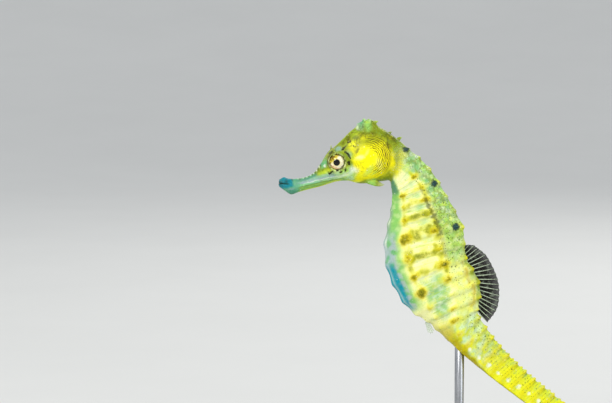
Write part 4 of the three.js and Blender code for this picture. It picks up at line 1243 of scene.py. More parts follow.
class Nodes:
    """Shorthand for laying out one node tree."""

    def __init__(self, tree):
        self.tree = tree

    def add(self, kind, inputs=None, **settings):
        node = self.tree.nodes.new(kind)
        for key, value in settings.items():
            setattr(node, key, value)
        for key, value in (inputs or {}).items():
            self.feed(node.inputs[key], value)
        return node

    def feed(self, socket, value):
        if isinstance(value, bpy.types.NodeSocket):
            self.tree.links.new(value, socket)
        else:
            socket.default_value = value

    def math(self, operation, a, b=0.0, clamp=False):
        node = self.add("ShaderNodeMath", {0: a, 1: b}, operation=operation, use_clamp=clamp)
        return node.outputs[0]

    def times(self, a, b):
        return self.math("MULTIPLY", a, b)

    def plus(self, a, b, clamp=False):
        return self.math("ADD", a, b, clamp)

    def vector(self, operation, inputs):
        return self.add("ShaderNodeVectorMath", inputs, operation=operation).outputs[0]

    def blend(self, share, a, b, mode="MIX"):
        node = self.add("ShaderNodeMix", {0: share}, data_type="RGBA", blend_type=mode)
        for index, value in ((6, a), (7, b)):
            joined = isinstance(value, bpy.types.NodeSocket)
            self.feed(node.inputs[index], value if joined else (*value, 1))
        return node.outputs[2]

    def step(self, value, start, end, low=0.0, high=1.0):
        inputs = dict(enumerate((value, start, end, low, high)))
        node = self.add("ShaderNodeMapRange", inputs, interpolation_type="SMOOTHSTEP")
        return node.outputs[0]

    def attribute(self, name, output="Fac"):
        return self.add("ShaderNodeAttribute", attribute_name=name).outputs[output]

    def place(self):
        return self.add("ShaderNodeTexCoord").outputs["Object"]

    def stretched(self, place, scale):
        return self.add("ShaderNodeMapping", {"Vector": place, "Scale": scale}).outputs[0]

    def noise(self, vector, scale, detail=3.0, roughness=0.55):
        inputs = {"Vector": vector, "Scale": scale, "Detail": detail, "Roughness": roughness}
        return self.add("ShaderNodeTexNoise", inputs).outputs["Fac"]

    def cells(self, vector, scale, **settings):
        return self.add("ShaderNodeTexVoronoi", {"Vector": vector, "Scale": scale}, **settings)

    def group(self, tree, **inputs):
        return self.add("ShaderNodeGroup", inputs, node_tree=tree).outputs

    def surface(self, bump, values):
        """Feeds the shader: a bump of strength, depth and height, and its other sockets."""
        inputs = self.tree.nodes["Principled BSDF"].inputs
        if bump:
            relief = self.add("ShaderNodeBump", dict(zip(("Strength", "Distance", "Height"), bump)))
            self.feed(inputs["Normal"], relief.outputs[0])
        for key, value in values.items():
            self.feed(inputs[key], value)


def new_material(name):
    material = bpy.data.materials.new(name)
    material.use_nodes = True
    return material, Nodes(material.node_tree)


def shared_group(name, kind, inputs, outputs, lay_out):
    """A node group, made at its first use; sockets are (label, type, value) and (label, type)."""
    if name in bpy.data.node_groups:
        return bpy.data.node_groups[name]
    tree = bpy.data.node_groups.new(name, kind)
    for label, socket_type, *value in inputs:
        socket = tree.interface.new_socket(
            label, in_out="INPUT", socket_type=f"NodeSocket{socket_type}")
        if value:
            socket.default_value = value[0]
    for label, socket_type in outputs:
        tree.interface.new_socket(label, in_out="OUTPUT", socket_type=f"NodeSocket{socket_type}")
    nodes = Nodes(tree)
    made = lay_out(nodes, nodes.add("NodeGroupInput").outputs)
    nodes.add("NodeGroupOutput", made)
    return tree


def speck_group():
    """Small irregular specks: a mask from a cell pattern, thinned by a density."""

    def lay_out(nodes, given):
        place, scale, size = given["Vector"], given["Scale"], given["Size"]
        cells = nodes.cells(place, scale)
        ragged = nodes.noise(place, nodes.times(scale, 2.3), 2.0)
        radius = nodes.plus(cells.outputs["Distance"], nodes.times(ragged, 0.25))
        inside = nodes.step(radius, nodes.plus(size, 0.12), size)
        chance = nodes.add("ShaderNodeSeparateColor", {0: cells.outputs["Color"]}).outputs[0]
        kept = nodes.step(nodes.math("SUBTRACT", given["Density"], chance), 0.0, 0.06)
        return {"Mask": nodes.times(inside, kept)}

    inputs = (("Vector", "Vector"), ("Scale", "Float", 1500.0), ("Size", "Float", 0.3),
              ("Density", "Float", 0.5))
    return shared_group("Specks", "ShaderNodeTree", inputs, [("Mask", "Float")], lay_out)


def grain_group():
    """Fine surface grain: a height for bump and a variation from 0 to 1."""

    def lay_out(nodes, given):
        place, scale = given["Vector"], given["Scale"]
        fine = nodes.noise(place, scale, 4.0, 0.6)
        broad = nodes.noise(place, nodes.times(scale, 0.21), 2.0)
        pebbles = nodes.cells(place, scale, feature="SMOOTH_F1")
        raised = nodes.math("SUBTRACT", 1.0, pebbles.outputs["Distance"])
        mixed = nodes.add("ShaderNodeMix", {0: given["Pebble"], 2: fine, 3: raised})
        variation = nodes.times(nodes.plus(fine, broad), 0.5)
        return {"Height": mixed.outputs[0], "Variation": variation}

    inputs = (("Vector", "Vector"), ("Scale", "Float", 2000.0), ("Pebble", "Float", 0.5))
    outputs = (("Height", "Float"), ("Variation", "Float"))
    return shared_group("Surface Grain", "ShaderNodeTree", inputs, outputs, lay_out)


SHADOW_TINT = (0.55, 0.62, 0.3)
HATCHES_PER_RING = 4


def skin_material(settings):
    material, nodes = new_material("Seahorse skin")
    hue = palette(settings)
    place = nodes.place()
    times, plus, step, mark = nodes.times, nodes.plus, nodes.step, nodes.attribute
    base = mark("paint", "Color")

    def lay(shade, mask):
        nonlocal base
        base = nodes.blend(mask, base, hue[shade])

    def over(shade, value, start, end, most, within=None, least=0.0):
        """Lays a colour that comes in from start to end of a value, within another mask."""
        mask = step(value, start, end, least, most)
        lay(shade, mask if within is None else times(mask, within))

    # Broad and fine mottle, faint where the skin is calm.
    mottle = nodes.noise(place, 640.0, 4.0, 0.62)
    fine = nodes.noise(place, 2400.0, 3.0, 0.6)
    ragged = step(fine, 0.3, 0.7, -1.0, 1.0)
    lively = step(mark("calm"), 0.0, 1.0, 1.0, 0.15)
    over("lemon", mottle, 0.52, 0.7, 0.28, lively)
    over("mint", mottle, 0.47, 0.3, 0.24, lively)
    over("pearl", fine, 0.6, 0.74, 0.18, lively)
    base = nodes.blend(step(fine, 0.48, 0.32, 0.0, 0.34), base, SHADOW_TINT, "MULTIPLY")

    # Streaks that follow the rings over the flanks, and fine broken lines across the tail.
    flow = mark("flow", "Vector")
    drawn = nodes.vector("MULTIPLY", {0: flow, 1: (7.0, 1.3, 7.0)})
    streaks = nodes.noise(drawn, 1.0, 4.0, 0.6)
    flank = mark("streak")
    over("lime", streaks, 0.53, 0.66, 0.42, flank)
    over("olive", streaks, 0.62, 0.74, 0.45, flank)
    over("pearl", streaks, 0.47, 0.36, 0.3, flank)
    parts = nodes.add("ShaderNodeSeparateXYZ", {0: flow}).outputs
    slant = plus(parts[0], times(parts[1], 0.3))
    hatch = step(nodes.math("SINE", times(slant, 2 * math.pi * HATCHES_PER_RING)), 0.6, 0.95)
    over("moss", fine, 0.46, 0.58, 0.55, times(hatch, mark("hatch")))

    # Cool cells on the back, with a lime net between them.
    cool = mark("cool")
    bend = nodes.add("ShaderNodeTexNoise", {"Vector": place, "Scale": 1100.0, "Detail": 3.0})
    bent = nodes.vector("SCALE", {0: bend.outputs["Color"], "Scale": 0.0011})
    cells = nodes.cells(nodes.vector("ADD", {0: place, 1: bent}), 900.0)
    pick = nodes.add("ShaderNodeSeparateColor", {0: cells.outputs["Color"]}).outputs[0]
    over("lavender", pick, 0.6, 0.95, 0.42, cool)
    over("aqua", pick, 0.45, 0.1, 0.4, cool)
    over("pearl", fine, 0.55, 0.7, 0.45, cool)
    over("olive", cells.outputs["Distance"], 0.42, 0.75, 0.5, cool)

    # Ring bands and a warm spot on each knob, both broken up by the mottle.
    cloudy = step(mottle, 0.3, 0.7, -1.0, 1.0)
    uneven = plus(plus(times(ragged, 0.12), times(cloudy, 0.3)), 1.0)
    band = times(mark("band"), uneven)
    over("lemon", band, 0.0, 0.7, 0.6)
    over("olive", band, 0.15, 1.1, 0.92)
    knob = times(mark("knob"), uneven)
    over("lemon", knob, 0.0, 0.8, 0.75)
    over("ochre", knob, 0.25, 0.9, 0.6)
    over("olive", knob, 0.55, 1.1, 0.8)
    over("bark", fine, 0.52, 0.42, 0.6, step(knob, 0.75, 1.15))

    # Pale spots along the tail.
    over("pearl", plus(mark("white_spot"), times(ragged, 0.12)), 0.25, -0.25, 0.8)

    # Specks in three sizes: their scale, size, density, strength and colour.
    density = mark("speck")
    for scale, size, share, strength, shade in (
        (1700.0, 0.3, density, 0.65, "moss"),
        (1000.0, 0.26, times(density, 0.3), 0.75, "moss"),
        (1350.0, 0.25, 0.18, 0.4, "pearl"),
    ):
        specks = nodes.group(speck_group(), Vector=place, Scale=scale, Size=size, Density=share)
        lay(shade, times(specks[0], strength))

    # The three slate spots, with a dark edge.
    spot = plus(mark("slate_spot"), times(ragged, 0.14))
    over("moss", spot, 0.3, -0.05, 0.6)
    over("slate", spot, 0.08, -0.3, 0.95)
    over("aqua", fine, 0.48, 0.7, 0.4, step(spot, -0.1, -0.4))

    # The orbit: a pale rim, painted shade in the hollow before it and dark dashes round it.
    orbit = mark("orbit")
    rim = times(step(orbit, 1.85, 2.0), step(orbit, 2.5, 2.15))
    over("cream", mottle, 0.4, 0.6, 0.7, rim, 0.15)
    over("bark", fine, 0.52, 0.42, 0.8, rim)
    over("bark", fine, 0.35, 0.6, 0.95, mark("socket"), 0.45)
    over("umber", plus(mark("dash"), times(ragged, 0.13)), 0.16, -0.08, 0.94)

    # Growth lines of the gill cover, and fine brown lines on crown and cheek.
    wavy = plus(mark("gill"), step(mottle, 0.2, 0.8, -0.05, 0.05))
    lines = nodes.math("SINE", times(wavy, 2 * math.pi / GILL_LINES))
    striae = times(step(lines, 0.25, -0.6), mark("striae"))
    over("bark", fine, 0.35, 0.6, 0.9, striae, 0.5)
    veins = nodes.add("ShaderNodeTexNoise", {"Vector": place, "Scale": 520.0, "Detail": 2.0})
    near = nodes.math("ABSOLUTE", nodes.math("SUBTRACT", veins.outputs["Fac"], 0.5))
    over("bark", near, 0.03, 0.006, 0.5, mark("wisp"))
    # Painted shade in creases, inside the mouth and round the eyeball, with the flank's dark lines, in
    # moss
    lay("moss", times(mark("shade_and_lines"), 0.7))

    grain = nodes.group(grain_group(), Vector=place, Scale=3200.0, Pebble=0.45)
    height = plus(plus(grain["Height"], times(striae, -1.2)), times(mottle, 1.2))
    nodes.surface((0.35, 0.0001, height), {
        "Base Color": base,
        "Roughness": step(grain["Variation"], 0.3, 0.7, 0.38, 0.58),
        "Specular IOR Level": 0.16,
        "Coat Weight": 0.06,
        "Coat Roughness": 0.25,
        "Subsurface Weight": 0.08,
        "Subsurface Radius": (1.0, 0.9, 0.4),
        "Subsurface Scale": 0.0005,
    })
    return material


class SEAHORSE_OT_skin(bpy.types.Operator):
    """Build the skin of head, trunk and tail as one closed mesh with its markings"""

    bl_idname = "seahorse.skin"
    bl_label = "Skin"

    def execute(self, context):
        settings = context.scene.seahorse_skin
        rows = np.concatenate([
            evenly_spaced(FIRST_STATION, 0.5, HEAD_STEP),
            evenly_spaced(0.5, TAIL_GRID_START, TRUNK_STEP)[1:],
        ])
        front = Grid(rows, HALF_COLUMNS)
        rings = TAIL_LAST - TAIL_GRID_START
        tail_u = np.linspace(TAIL_GRID_START, TAIL_LAST, int(rings * ROWS_PER_TAIL_RING) + 1)[1:]
        tail = Grid(tail_u, HALF_COLUMNS // 2)
        marks = []
        for grid in (front, tail):
            raise_rings(grid, settings)
            shape_mouth(grid)
            shape_gill_covers(grid)
            shape_orbits(grid)
            raise_coronet(grid)
            raise_beads(grid)
            marks.append(skin_marks(grid, settings))
        points, faces, all_marks = skin_mesh(front, tail, *marks)
        points, faces, all_marks = add_spines(points, faces, all_marks, settings.pearl)
        skin = mesh_object("skin", points, faces, skin_material(settings), all_marks)
        nodes = ["snout", "head", "coronet", "neck", "trunk_chest", "trunk_belly"]
        nodes += [f"tail_{i}" for i in range(1, 7)]
        finish_piece(skin, "skin", *nodes)
        return {"FINISHED"}


# ---------------------------------------------------------------- eyes

EYE_RINGS = 40
EYE_SEGMENTS = 72
EYE_BULGE, EYE_BULGE_RADIUS = 0.08, 0.95
PUPIL_OFFSET = (-0.22, 0.02)


def eye_mesh(side):
    """A flattened ball with a slightly bulging front, its axis pointing sideways."""
    turns = np.linspace(0, math.pi, EYE_RINGS + 1)[1:-1]
    radius = EYE_RADIUS * np.sin(turns)
    bulge = EYE_BULGE * np.exp(-((radius / EYE_BULGE_RADIUS) ** 2)) * (turns < 1.2)
    out = EYE_THICKNESS * np.cos(turns) + bulge
    a, h = (np.append(np.outer(radius, way), (0, 0)) for way in circle(EYE_SEGMENTS).T)
    y = np.append(np.repeat(out, EYE_SEGMENTS), (out[0] + 0.005, -EYE_THICKNESS))
    x, z = a * RISE_COS - h * RISE_SIN, a * RISE_SIN + h * RISE_COS
    middle = head_space(*EYE_PLACE, side * EYE_SIDE)
    points = np.stack([x, side * y, z], axis=1) + middle
    faces = tube_faces(EYE_RINGS - 1, EYE_SEGMENTS)
    if side > 0:
        faces = [face[::-1] for face in faces]
    across, up = a - PUPIL_OFFSET[0], h - PUPIL_OFFSET[1]
    marks = {"iris_radius": np.hypot(across, up), "iris_across": across, "iris_up": up}
    return points, faces, marks


LOW_IRIS = colour(232, 150, 60)
PUPIL_BLACK = (0.002, 0.002, 0.003)


def eye_material(settings):
    material, nodes = new_material("Eye")
    hue = palette(settings)
    times, plus, step = nodes.times, nodes.plus, nodes.step
    radius, across, up = (nodes.attribute(f"iris_{name}") for name in ("radius", "across", "up"))
    turn = nodes.math("ARCTAN2", up, across)
    spokes = nodes.add("ShaderNodeCombineXYZ", {
        0: times(nodes.math("COSINE", turn), 2.4),
        1: times(nodes.math("SINE", turn), 2.4),
        2: times(radius, 1.2),
    }).outputs[0]
    streaks = nodes.noise(spokes, 1.6, 3.0, 0.6)
    fleck = nodes.noise(nodes.place(), 1900.0, 3.0, 0.6)

    def leaning(a, b):
        """How far a point lies towards one side of the iris."""
        return plus(times(across, a), times(up, b))

    flecks = plus(leaning(-0.5, 0.85), times(fleck, 3.0))
    brown = plus(leaning(-0.95, -0.1), times(fleck, 0.8))
    spots = times(step(fleck, 0.57, 0.66), step(radius, 1.0, 1.3))
    outer = plus(radius, step(fleck, 0.3, 0.7, -0.12, 0.12))
    ring = times(step(radius, 0.8, 0.88), step(radius, 1.08, 0.96))
    pupil = settings.pupil_radius
    shade = hue["iris"]
    for mask, colour_over in (
        (step(streaks, 0.52, 0.68, 0.0, 0.6), hue["gold"]),
        (step(leaning(-0.5, 0.85), 0.4, 1.0, 0.0, 0.95), hue["gold"]),
        (step(flecks, 2.4, 2.9, 0.0, 0.75), hue["rust"]),
        (step(leaning(-0.6, -0.8), 0.7, 1.5, 0.0, 0.55), LOW_IRIS),
        (step(brown, 1.7, 2.1, 0.0, 0.8), hue["rust"]),
        (times(spots, 0.6), hue["rust"]),
        (step(outer, 1.68, 1.9, 0.0, 0.85), hue["rust"]),
        (times(ring, 0.45), hue["gold"]),
        (step(radius, pupil + 0.05, pupil - 0.03), PUPIL_BLACK),
    ):
        shade = nodes.blend(mask, shade, colour_over)
    nodes.surface(None, {
        "Base Color": shade,
        "Roughness": step(streaks, 0.3, 0.7, 0.22, 0.34),
        "Specular IOR Level": 0.05,
        "Coat Weight": 0.5,
        "Coat Roughness": 0.02,
    })
    return material


class SEAHORSE_OT_eyes(bpy.types.Operator):
    """Build the two eyeballs"""

    bl_idname = "seahorse.eyes"
    bl_label = "Eyes"

    def execute(self, context):
        material = eye_material(context.scene.seahorse_eye)
        for name, side in (("eye_left", -1), ("eye_right", 1)):
            points, faces, marks = eye_mesh(side)
            ball = mesh_object(f"{name}_ball", points, faces, material, marks)
            finish_piece(ball, "eye", name)
        return {"FINISHED"}


# ---------------------------------------------------------------- fins

RAY_STEPS = 9
RAY_SHARES = np.linspace(0, 1, RAY_STEPS)
ROOT_DEPTH = 0.5                     # how far a fin's root lies inside the skin
COLUMNS_PER_WEB = 4
MEMBRANE_THICKNESS = 0.14


class Fan:
    """The rays of one fin, as points [ray, step], and the direction across its web."""

    def __init__(self, roots, ways, lengths, across=(0.0, 1.0, 0.0), sag=0.0):
        straight = lengths[:, None, None] * RAY_SHARES[:, None]
        bow = (RAY_SHARES**2)[None, :, None] * (lengths * sag)[:, None, None]
        self.across = np.array(across)
        self.rays = roots[:, None] + ways[:, None] * straight
        self.rays = self.rays + np.cross(ways, self.across)[:, None] * bow


def upright_ways(angle):
    """Directions in the body's plane, from angles above the horizontal."""
    return np.stack([np.cos(angle), np.zeros_like(angle), np.sin(angle)], axis=1)


def dorsal_fan():
    share = np.linspace(0, 1, DORSAL["rays"])
    u = lerp(*DORSAL["rings"], share)
    stations = stations_at(u)
    up = unit(stations[:, BACK] - stations[:, KEEL])
    roots = surface_point(u, 0.0)
    roots[:, [0, 2]] += up * (DORSAL["clearance"] - ROOT_DEPTH)
    ways = upright_ways(np.radians(lerp(*DORSAL["angles"], share)))
    return Fan(roots, ways, keyed(DORSAL["lengths"], share) + ROOT_DEPTH, sag=0.05)


def pectoral_fan(side):
    flare = math.radians(PECTORAL["flare"])
    share = np.linspace(0, 1, PECTORAL["rays"])
    out, beside = math.cos(flare), math.sin(flare)
    back = np.array((out * RISE_COS, side * beside, out * RISE_SIN))
    across = np.array((-beside * RISE_COS, side * out, -beside * RISE_SIN)) * side
    start = head_space(*PECTORAL["place"], side * PECTORAL["side"])
    bow = PECTORAL["bow"] * (np.sin(share * math.pi) - 1)
    roots = start + np.outer(PECTORAL["base"] * (0.5 - share), HEAD_UP) + np.outer(bow, back)
    angle = np.radians(PECTORAL["fan"]) * (1 - 2 * share)
    ways = np.outer(np.cos(angle), back) + np.outer(np.sin(angle), HEAD_UP)
    lengths = PECTORAL["length"] * (1 - 0.25 * (2 * share - 1) ** 2)
    return Fan(roots, ways, lengths, across)


def anal_fan():
    direction = math.radians(ANAL["direction"])
    share = np.linspace(0, 1, len(ANAL["lengths"]))
    along = np.array((-math.sin(direction), 0.0, math.cos(direction)))
    station = stations_at(np.array((ANAL["ring"],)))[0]
    up = unit(station[BACK] - station[KEEL])
    vent = surface_point(ANAL["ring"], 4.0)[0] - np.array((up[0], 0, up[1])) * 0.3
    roots = vent + np.outer(ANAL["base"] * (0.5 - share), along)
    angle = direction + math.radians(ANAL["fan"]) * (1 - 2 * share)
    return Fan(roots, upright_ways(angle), np.array(ANAL["lengths"]))


def membrane_mesh(fan, reach):
    """A thin closed plate over all the rays, hollowed a little between them at its edge."""
    count = len(fan.rays)
    columns = (count - 1) * COLUMNS_PER_WEB + 1
    at = np.linspace(0, count - 1, columns)
    low = np.minimum(at.astype(int), count - 2)
    sheet = lerp(fan.rays[low], fan.rays[low + 1], (at - low)[:, None, None])
    between = np.sin(math.pi * (at % 1.0))
    scallop = reach * (1 - 0.025 * between)
    sheet = sheet[:, :1] + (sheet - sheet[:, :1]) * scallop[:, None, None]
    shift = np.random.default_rng(SEED).uniform(0, 6, (columns, 1)) * 0.2
    wave = 0.06 * between[:, None] * np.sin(3 * RAY_SHARES + shift)
    half = MEMBRANE_THICKNESS / 2 * lerp(1.0, 0.5, RAY_SHARES)
    near, far = (sheet + fan.across * (wave + sense * half)[..., None] for sense in (-1, 1))
    loops = np.concatenate([near, far[:, ::-1]], axis=1)
    around = loops.shape[1]
    faces = grid_faces(columns, around).tolist()
    for first, sense in ((0, 1), ((columns - 1) * around, -1)):
        for a in range(RAY_STEPS - 1):
            b, c, d = a + 1, around - 2 - a, around - 1 - a
            faces.append(tuple(first + i for i in (a, b, c, d))[::sense])
    down = np.broadcast_to(RAY_SHARES, (columns, RAY_STEPS))
    web = np.broadcast_to(between[:, None], (columns, around))
    marks = {"fin_reach": np.hstack([down, down[:, ::-1]]).ravel(), "fin_web": web.ravel()}
    return loops.reshape(-1, 3), faces, marks


def ray_tree():
    """Turns the edges of a mesh into tapered rods, with a bead at each of their joints."""

    def lay_out(nodes, given):
        def made(kind, **inputs):
            inputs = {key.replace("_", " "): value for key, value in inputs.items()}
            return nodes.add(f"GeometryNode{kind}", inputs).outputs[0]

        edges = given["Geometry"]
        rods = made("CurveToMesh", Fill_Caps=True,
                    Curve=made("MeshToCurve", Mesh=edges),
                    Profile_Curve=made("CurvePrimitiveCircle", Radius=1.0,
                                       Resolution=given["Sides"]),
                    Scale=made("InputNamedAttribute", Name="ray_radius"))
        ball = made("MeshIcoSphere", Radius=1.0, Subdivisions=given["Bead detail"])
        beads = made("InstanceOnPoints", Points=edges, Instance=ball,
                     Scale=made("InputNamedAttribute", Name="bead"))
        joined = nodes.add("GeometryNodeJoinGeometry")
        for part in (rods, beads):
            nodes.feed(joined.inputs[0], part)
        smooth = made("SetShadeSmooth", Geometry=joined.outputs[0])
        real = made("RealizeInstances", Geometry=smooth)
        return {"Geometry": made("SetMaterial", Geometry=real, Material=given["Material"])}

    inputs = (("Geometry", "Geometry"), ("Sides", "Int"), ("Bead detail", "Int"),
              ("Material", "Material"))
    outputs = [("Geometry", "Geometry")]
    return shared_group("Fin Rays", "GeometryNodeTree", inputs, outputs, lay_out)


def ray_object(name, fan, root_radius, material, sides):
    """Rods and beads for every ray, made by the tree and turned into a plain mesh."""
    count = len(fan.rays)
    radius = root_radius * (1 - 0.75 * RAY_SHARES**0.8)
    edges = [(r * RAY_STEPS + i, r * RAY_STEPS + i + 1)
             for r in range(count) for i in range(RAY_STEPS - 1)]
    mesh = bpy.data.meshes.new(name)
    mesh.from_pydata((fan.rays.reshape(-1, 3) * MM).tolist(), edges, [])
    put_marks(mesh, {
        "ray_radius": np.tile(radius, count) * MM,
        "bead": np.tile(radius * lerp(1.05, 2.0, RAY_SHARES), count) * MM,
    })
    piece = link_object(name, mesh)
    tree = ray_tree()
    modifier = piece.modifiers.new("Rays", "NODES")
    modifier.node_group = tree
    sockets = {item.name: item.identifier for item in tree.interface.items_tree
               if item.in_out == "INPUT"}
    for label, value in (("Sides", sides), ("Bead detail", 1), ("Material", material)):
        modifier[sockets[label]] = value
    bpy.context.view_layer.update()
    graph = bpy.context.evaluated_depsgraph_get()
    made = bpy.data.meshes.new_from_object(piece.evaluated_get(graph))
    piece.modifiers.clear()
    piece.data = made
    return piece


def membrane_material(name, shade, alpha, settings):
    material, nodes = new_material(name)
    place = nodes.place()
    reach, web = nodes.attribute("fin_reach"), nodes.attribute("fin_web")
    cloudy = nodes.noise(place, 900.0, 3.0)
    base = nodes.blend(nodes.step(cloudy, 0.5, 0.75, 0.0, 0.25), shade, settings.ray)
    specks = nodes.group(speck_group(), Vector=place, Scale=1700.0, Size=0.26, Density=0.2)
    outer = nodes.times(specks[0], nodes.step(reach, 0.55, 0.9, 0.0, 0.6))
    thin = nodes.times(nodes.step(reach, 0.45, 1.0, 1.0, 0.7), alpha)
    nodes.surface((0.3, 0.00006, cloudy), {
        "Base Color": nodes.blend(outer, base, settings.ray),
        "Alpha": nodes.plus(thin, nodes.step(web, 0.5, 0.0, 0.0, 0.04), clamp=True),
        "Roughness": nodes.step(cloudy, 0.3, 0.7, 0.5, 0.65),
        "Specular IOR Level": 0.15,
    })
    return material


def ray_material(name, settings, alpha):
    material, nodes = new_material(name)
    grain = nodes.group(grain_group(), Vector=nodes.place(), Scale=2600.0, Pebble=0.2)
    tone = nodes.step(grain["Variation"], 0.4, 0.62)
    nodes.surface(None, {
        "Base Color": nodes.blend(tone, darker(settings.ray, 0.7), settings.ray),
        "Roughness": nodes.step(grain["Variation"], 0.3, 0.7, 0.3, 0.5),
        "Alpha": alpha,
    })
    return material


class SEAHORSE_OT_fins(bpy.types.Operator):
    """Build the back fin, the two side fins and the small fin below the trunk"""

    bl_idname = "seahorse.fins"
    bl_label = "Fins"

    def execute(self, context):
        settings = context.scene.seahorse_fin
        smoky = membrane_material("Smoky membrane", settings.membrane, 0.97, settings)
        clear = membrane_material("Clear membrane", settings.clear, 0.04, settings)
        pale = membrane_material("Pale membrane", settings.ray, 0.35, settings)
        rays = ray_material("Fin ray", settings, 1.0)
        faint = ray_material("Faint fin ray", settings, 0.06)
        fins = (
            ("fin_dorsal", dorsal_fan(), smoky, rays, 0.18, 1.01),
            ("fin_pectoral_left", pectoral_fan(-1), clear, faint, 0.08, 0.96),
            ("fin_pectoral_right", pectoral_fan(1), clear, faint, 0.08, 0.96),
            ("fin_anal", anal_fan(), pale, rays, 0.08, 0.95),
        )
        for name, fan, web_finish, ray_finish, radius, reach in fins:
            points, faces, marks = membrane_mesh(fan, reach)
            web = mesh_object(f"{name}_membrane", points, faces, web_finish, marks)
            finish_piece(web, "fin", name)
            rods = ray_object(f"{name}_rays", fan, radius, ray_finish, settings.ray_sides)
            finish_piece(rods, "fin", name)
        return {"FINISHED"}


# ---------------------------------------------------------------- stand

STAND_SEGMENTS = 160
COLLAR_SEGMENTS = 72
ROD_SEGMENTS = 48
ARC_STEPS = 6
BASE_PROFILE = (
    # radius, height and how far the corner there is rounded
    (0.0, 0.0, 0.0),
    (37.2, 0.0, 0.0),
    (38.0, 0.8, 0.3),
    (38.0, 4.6, 0.35),
    (36.9, 4.9, 0.3),
    (36.75, 5.9, 0.4),
    (33.7, 8.95, 2.6),
    (4.6, 9.0, 0.2),
    (4.3, 8.8, 0.1),
    (0.0, 8.8, 0.0),
)


def rounded(profile):
    """A profile with each corner turned into a short arc."""
    points = []
    corners = [np.array(corner[:2]) for corner in profile]
    for i, (corner, (_, _, radius)) in enumerate(zip(corners, profile)):
        if radius == 0:
            points.append(corner)
            continue
        before, after = unit(corners[i - 1] - corner), unit(corners[i + 1] - corner)
        start, end = corner + before * radius, corner + after * radius
        for t in np.linspace(0, 1, ARC_STEPS):
            points.append((1 - t) ** 2 * start + 2 * t * (1 - t) * corner + t**2 * end)
    return np.array(points)


def turned_rows(profile, segments):
    """A ring of points for each radius and height of a profile."""
    rim = circle(segments)
    return [np.column_stack([rim * radius, np.full(segments, z)]) for radius, z in profile]


def lathe(profile, segments):
    """Points and faces of a closed turned form; the profile runs from the axis to the axis."""
    rows = turned_rows(profile[1:-1], segments)
    ends = [(0, 0, profile[i][1]) for i in (0, -1)]
    return np.concatenate([*rows, ends]), tube_faces(len(rows), segments)


def turned_ring(profile, segments):
    """A turned form whose profile closes on itself."""
    points = np.concatenate(turned_rows(profile, segments))
    return points, (grid_faces(len(profile) + 1, segments) % len(points)).tolist()


def wood_material(settings):
    material, nodes = new_material("Walnut")
    place = nodes.place()
    times, plus, step = nodes.times, nodes.plus, nodes.step
    sway = nodes.noise(nodes.stretched(place, (1.0, 7.0, 7.0)), 9.0, 3.0, 0.5)
    apart = nodes.add("ShaderNodeSeparateXYZ", {0: place}).outputs
    across = plus(times(apart[1], 900.0), times(sway, 16.0))
    rings = step(nodes.math("SINE", across), -0.4, 0.9)
    fine = nodes.noise(nodes.stretched(place, (60.0, 1600.0, 1600.0)), 1.0, 4.0, 0.6)
    figure = plus(times(rings, 0.2), times(fine, 0.85))
    base = nodes.blend(step(figure, 0.25, 0.85), settings.walnut, settings.walnut_dark)
    pores = nodes.noise(nodes.stretched(place, (140.0, 2600.0, 2600.0)), 1.0, 2.0)
    pore = step(pores, 0.62, 0.7)
    height = nodes.math("SUBTRACT", times(fine, 0.4), pore)
    nodes.surface((0.25, 0.00008, height), {
        "Base Color": nodes.blend(times(pore, 0.6), base, darker(settings.walnut_dark, 0.4)),
        "Roughness": step(figure, 0.2, 0.9, 0.3, 0.46),
        "Coat Weight": 0.3,
        "Coat Roughness": 0.15,
    })
    return material


def metal_material(name, shade, scales):
    """Turned or drawn metal: fine lines, drawn out by the given scales."""
    material, nodes = new_material(name)
    place = nodes.place()
    lines = nodes.noise(nodes.stretched(place, scales), 1.0, 3.0, 0.6)
    cloud = nodes.group(grain_group(), Vector=place, Scale=420.0, Pebble=0.0)
    tone = nodes.plus(nodes.times(lines, 0.5), nodes.times(cloud["Variation"], 0.5))
    nodes.surface((0.12, 0.00003, lines), {
        "Base Color": nodes.blend(nodes.step(tone, 0.35, 0.62), darker(shade, 0.7), shade),
        "Roughness": nodes.step(tone, 0.3, 0.7, 0.2, 0.34),
        "Metallic": 1.0,
    })
    return material


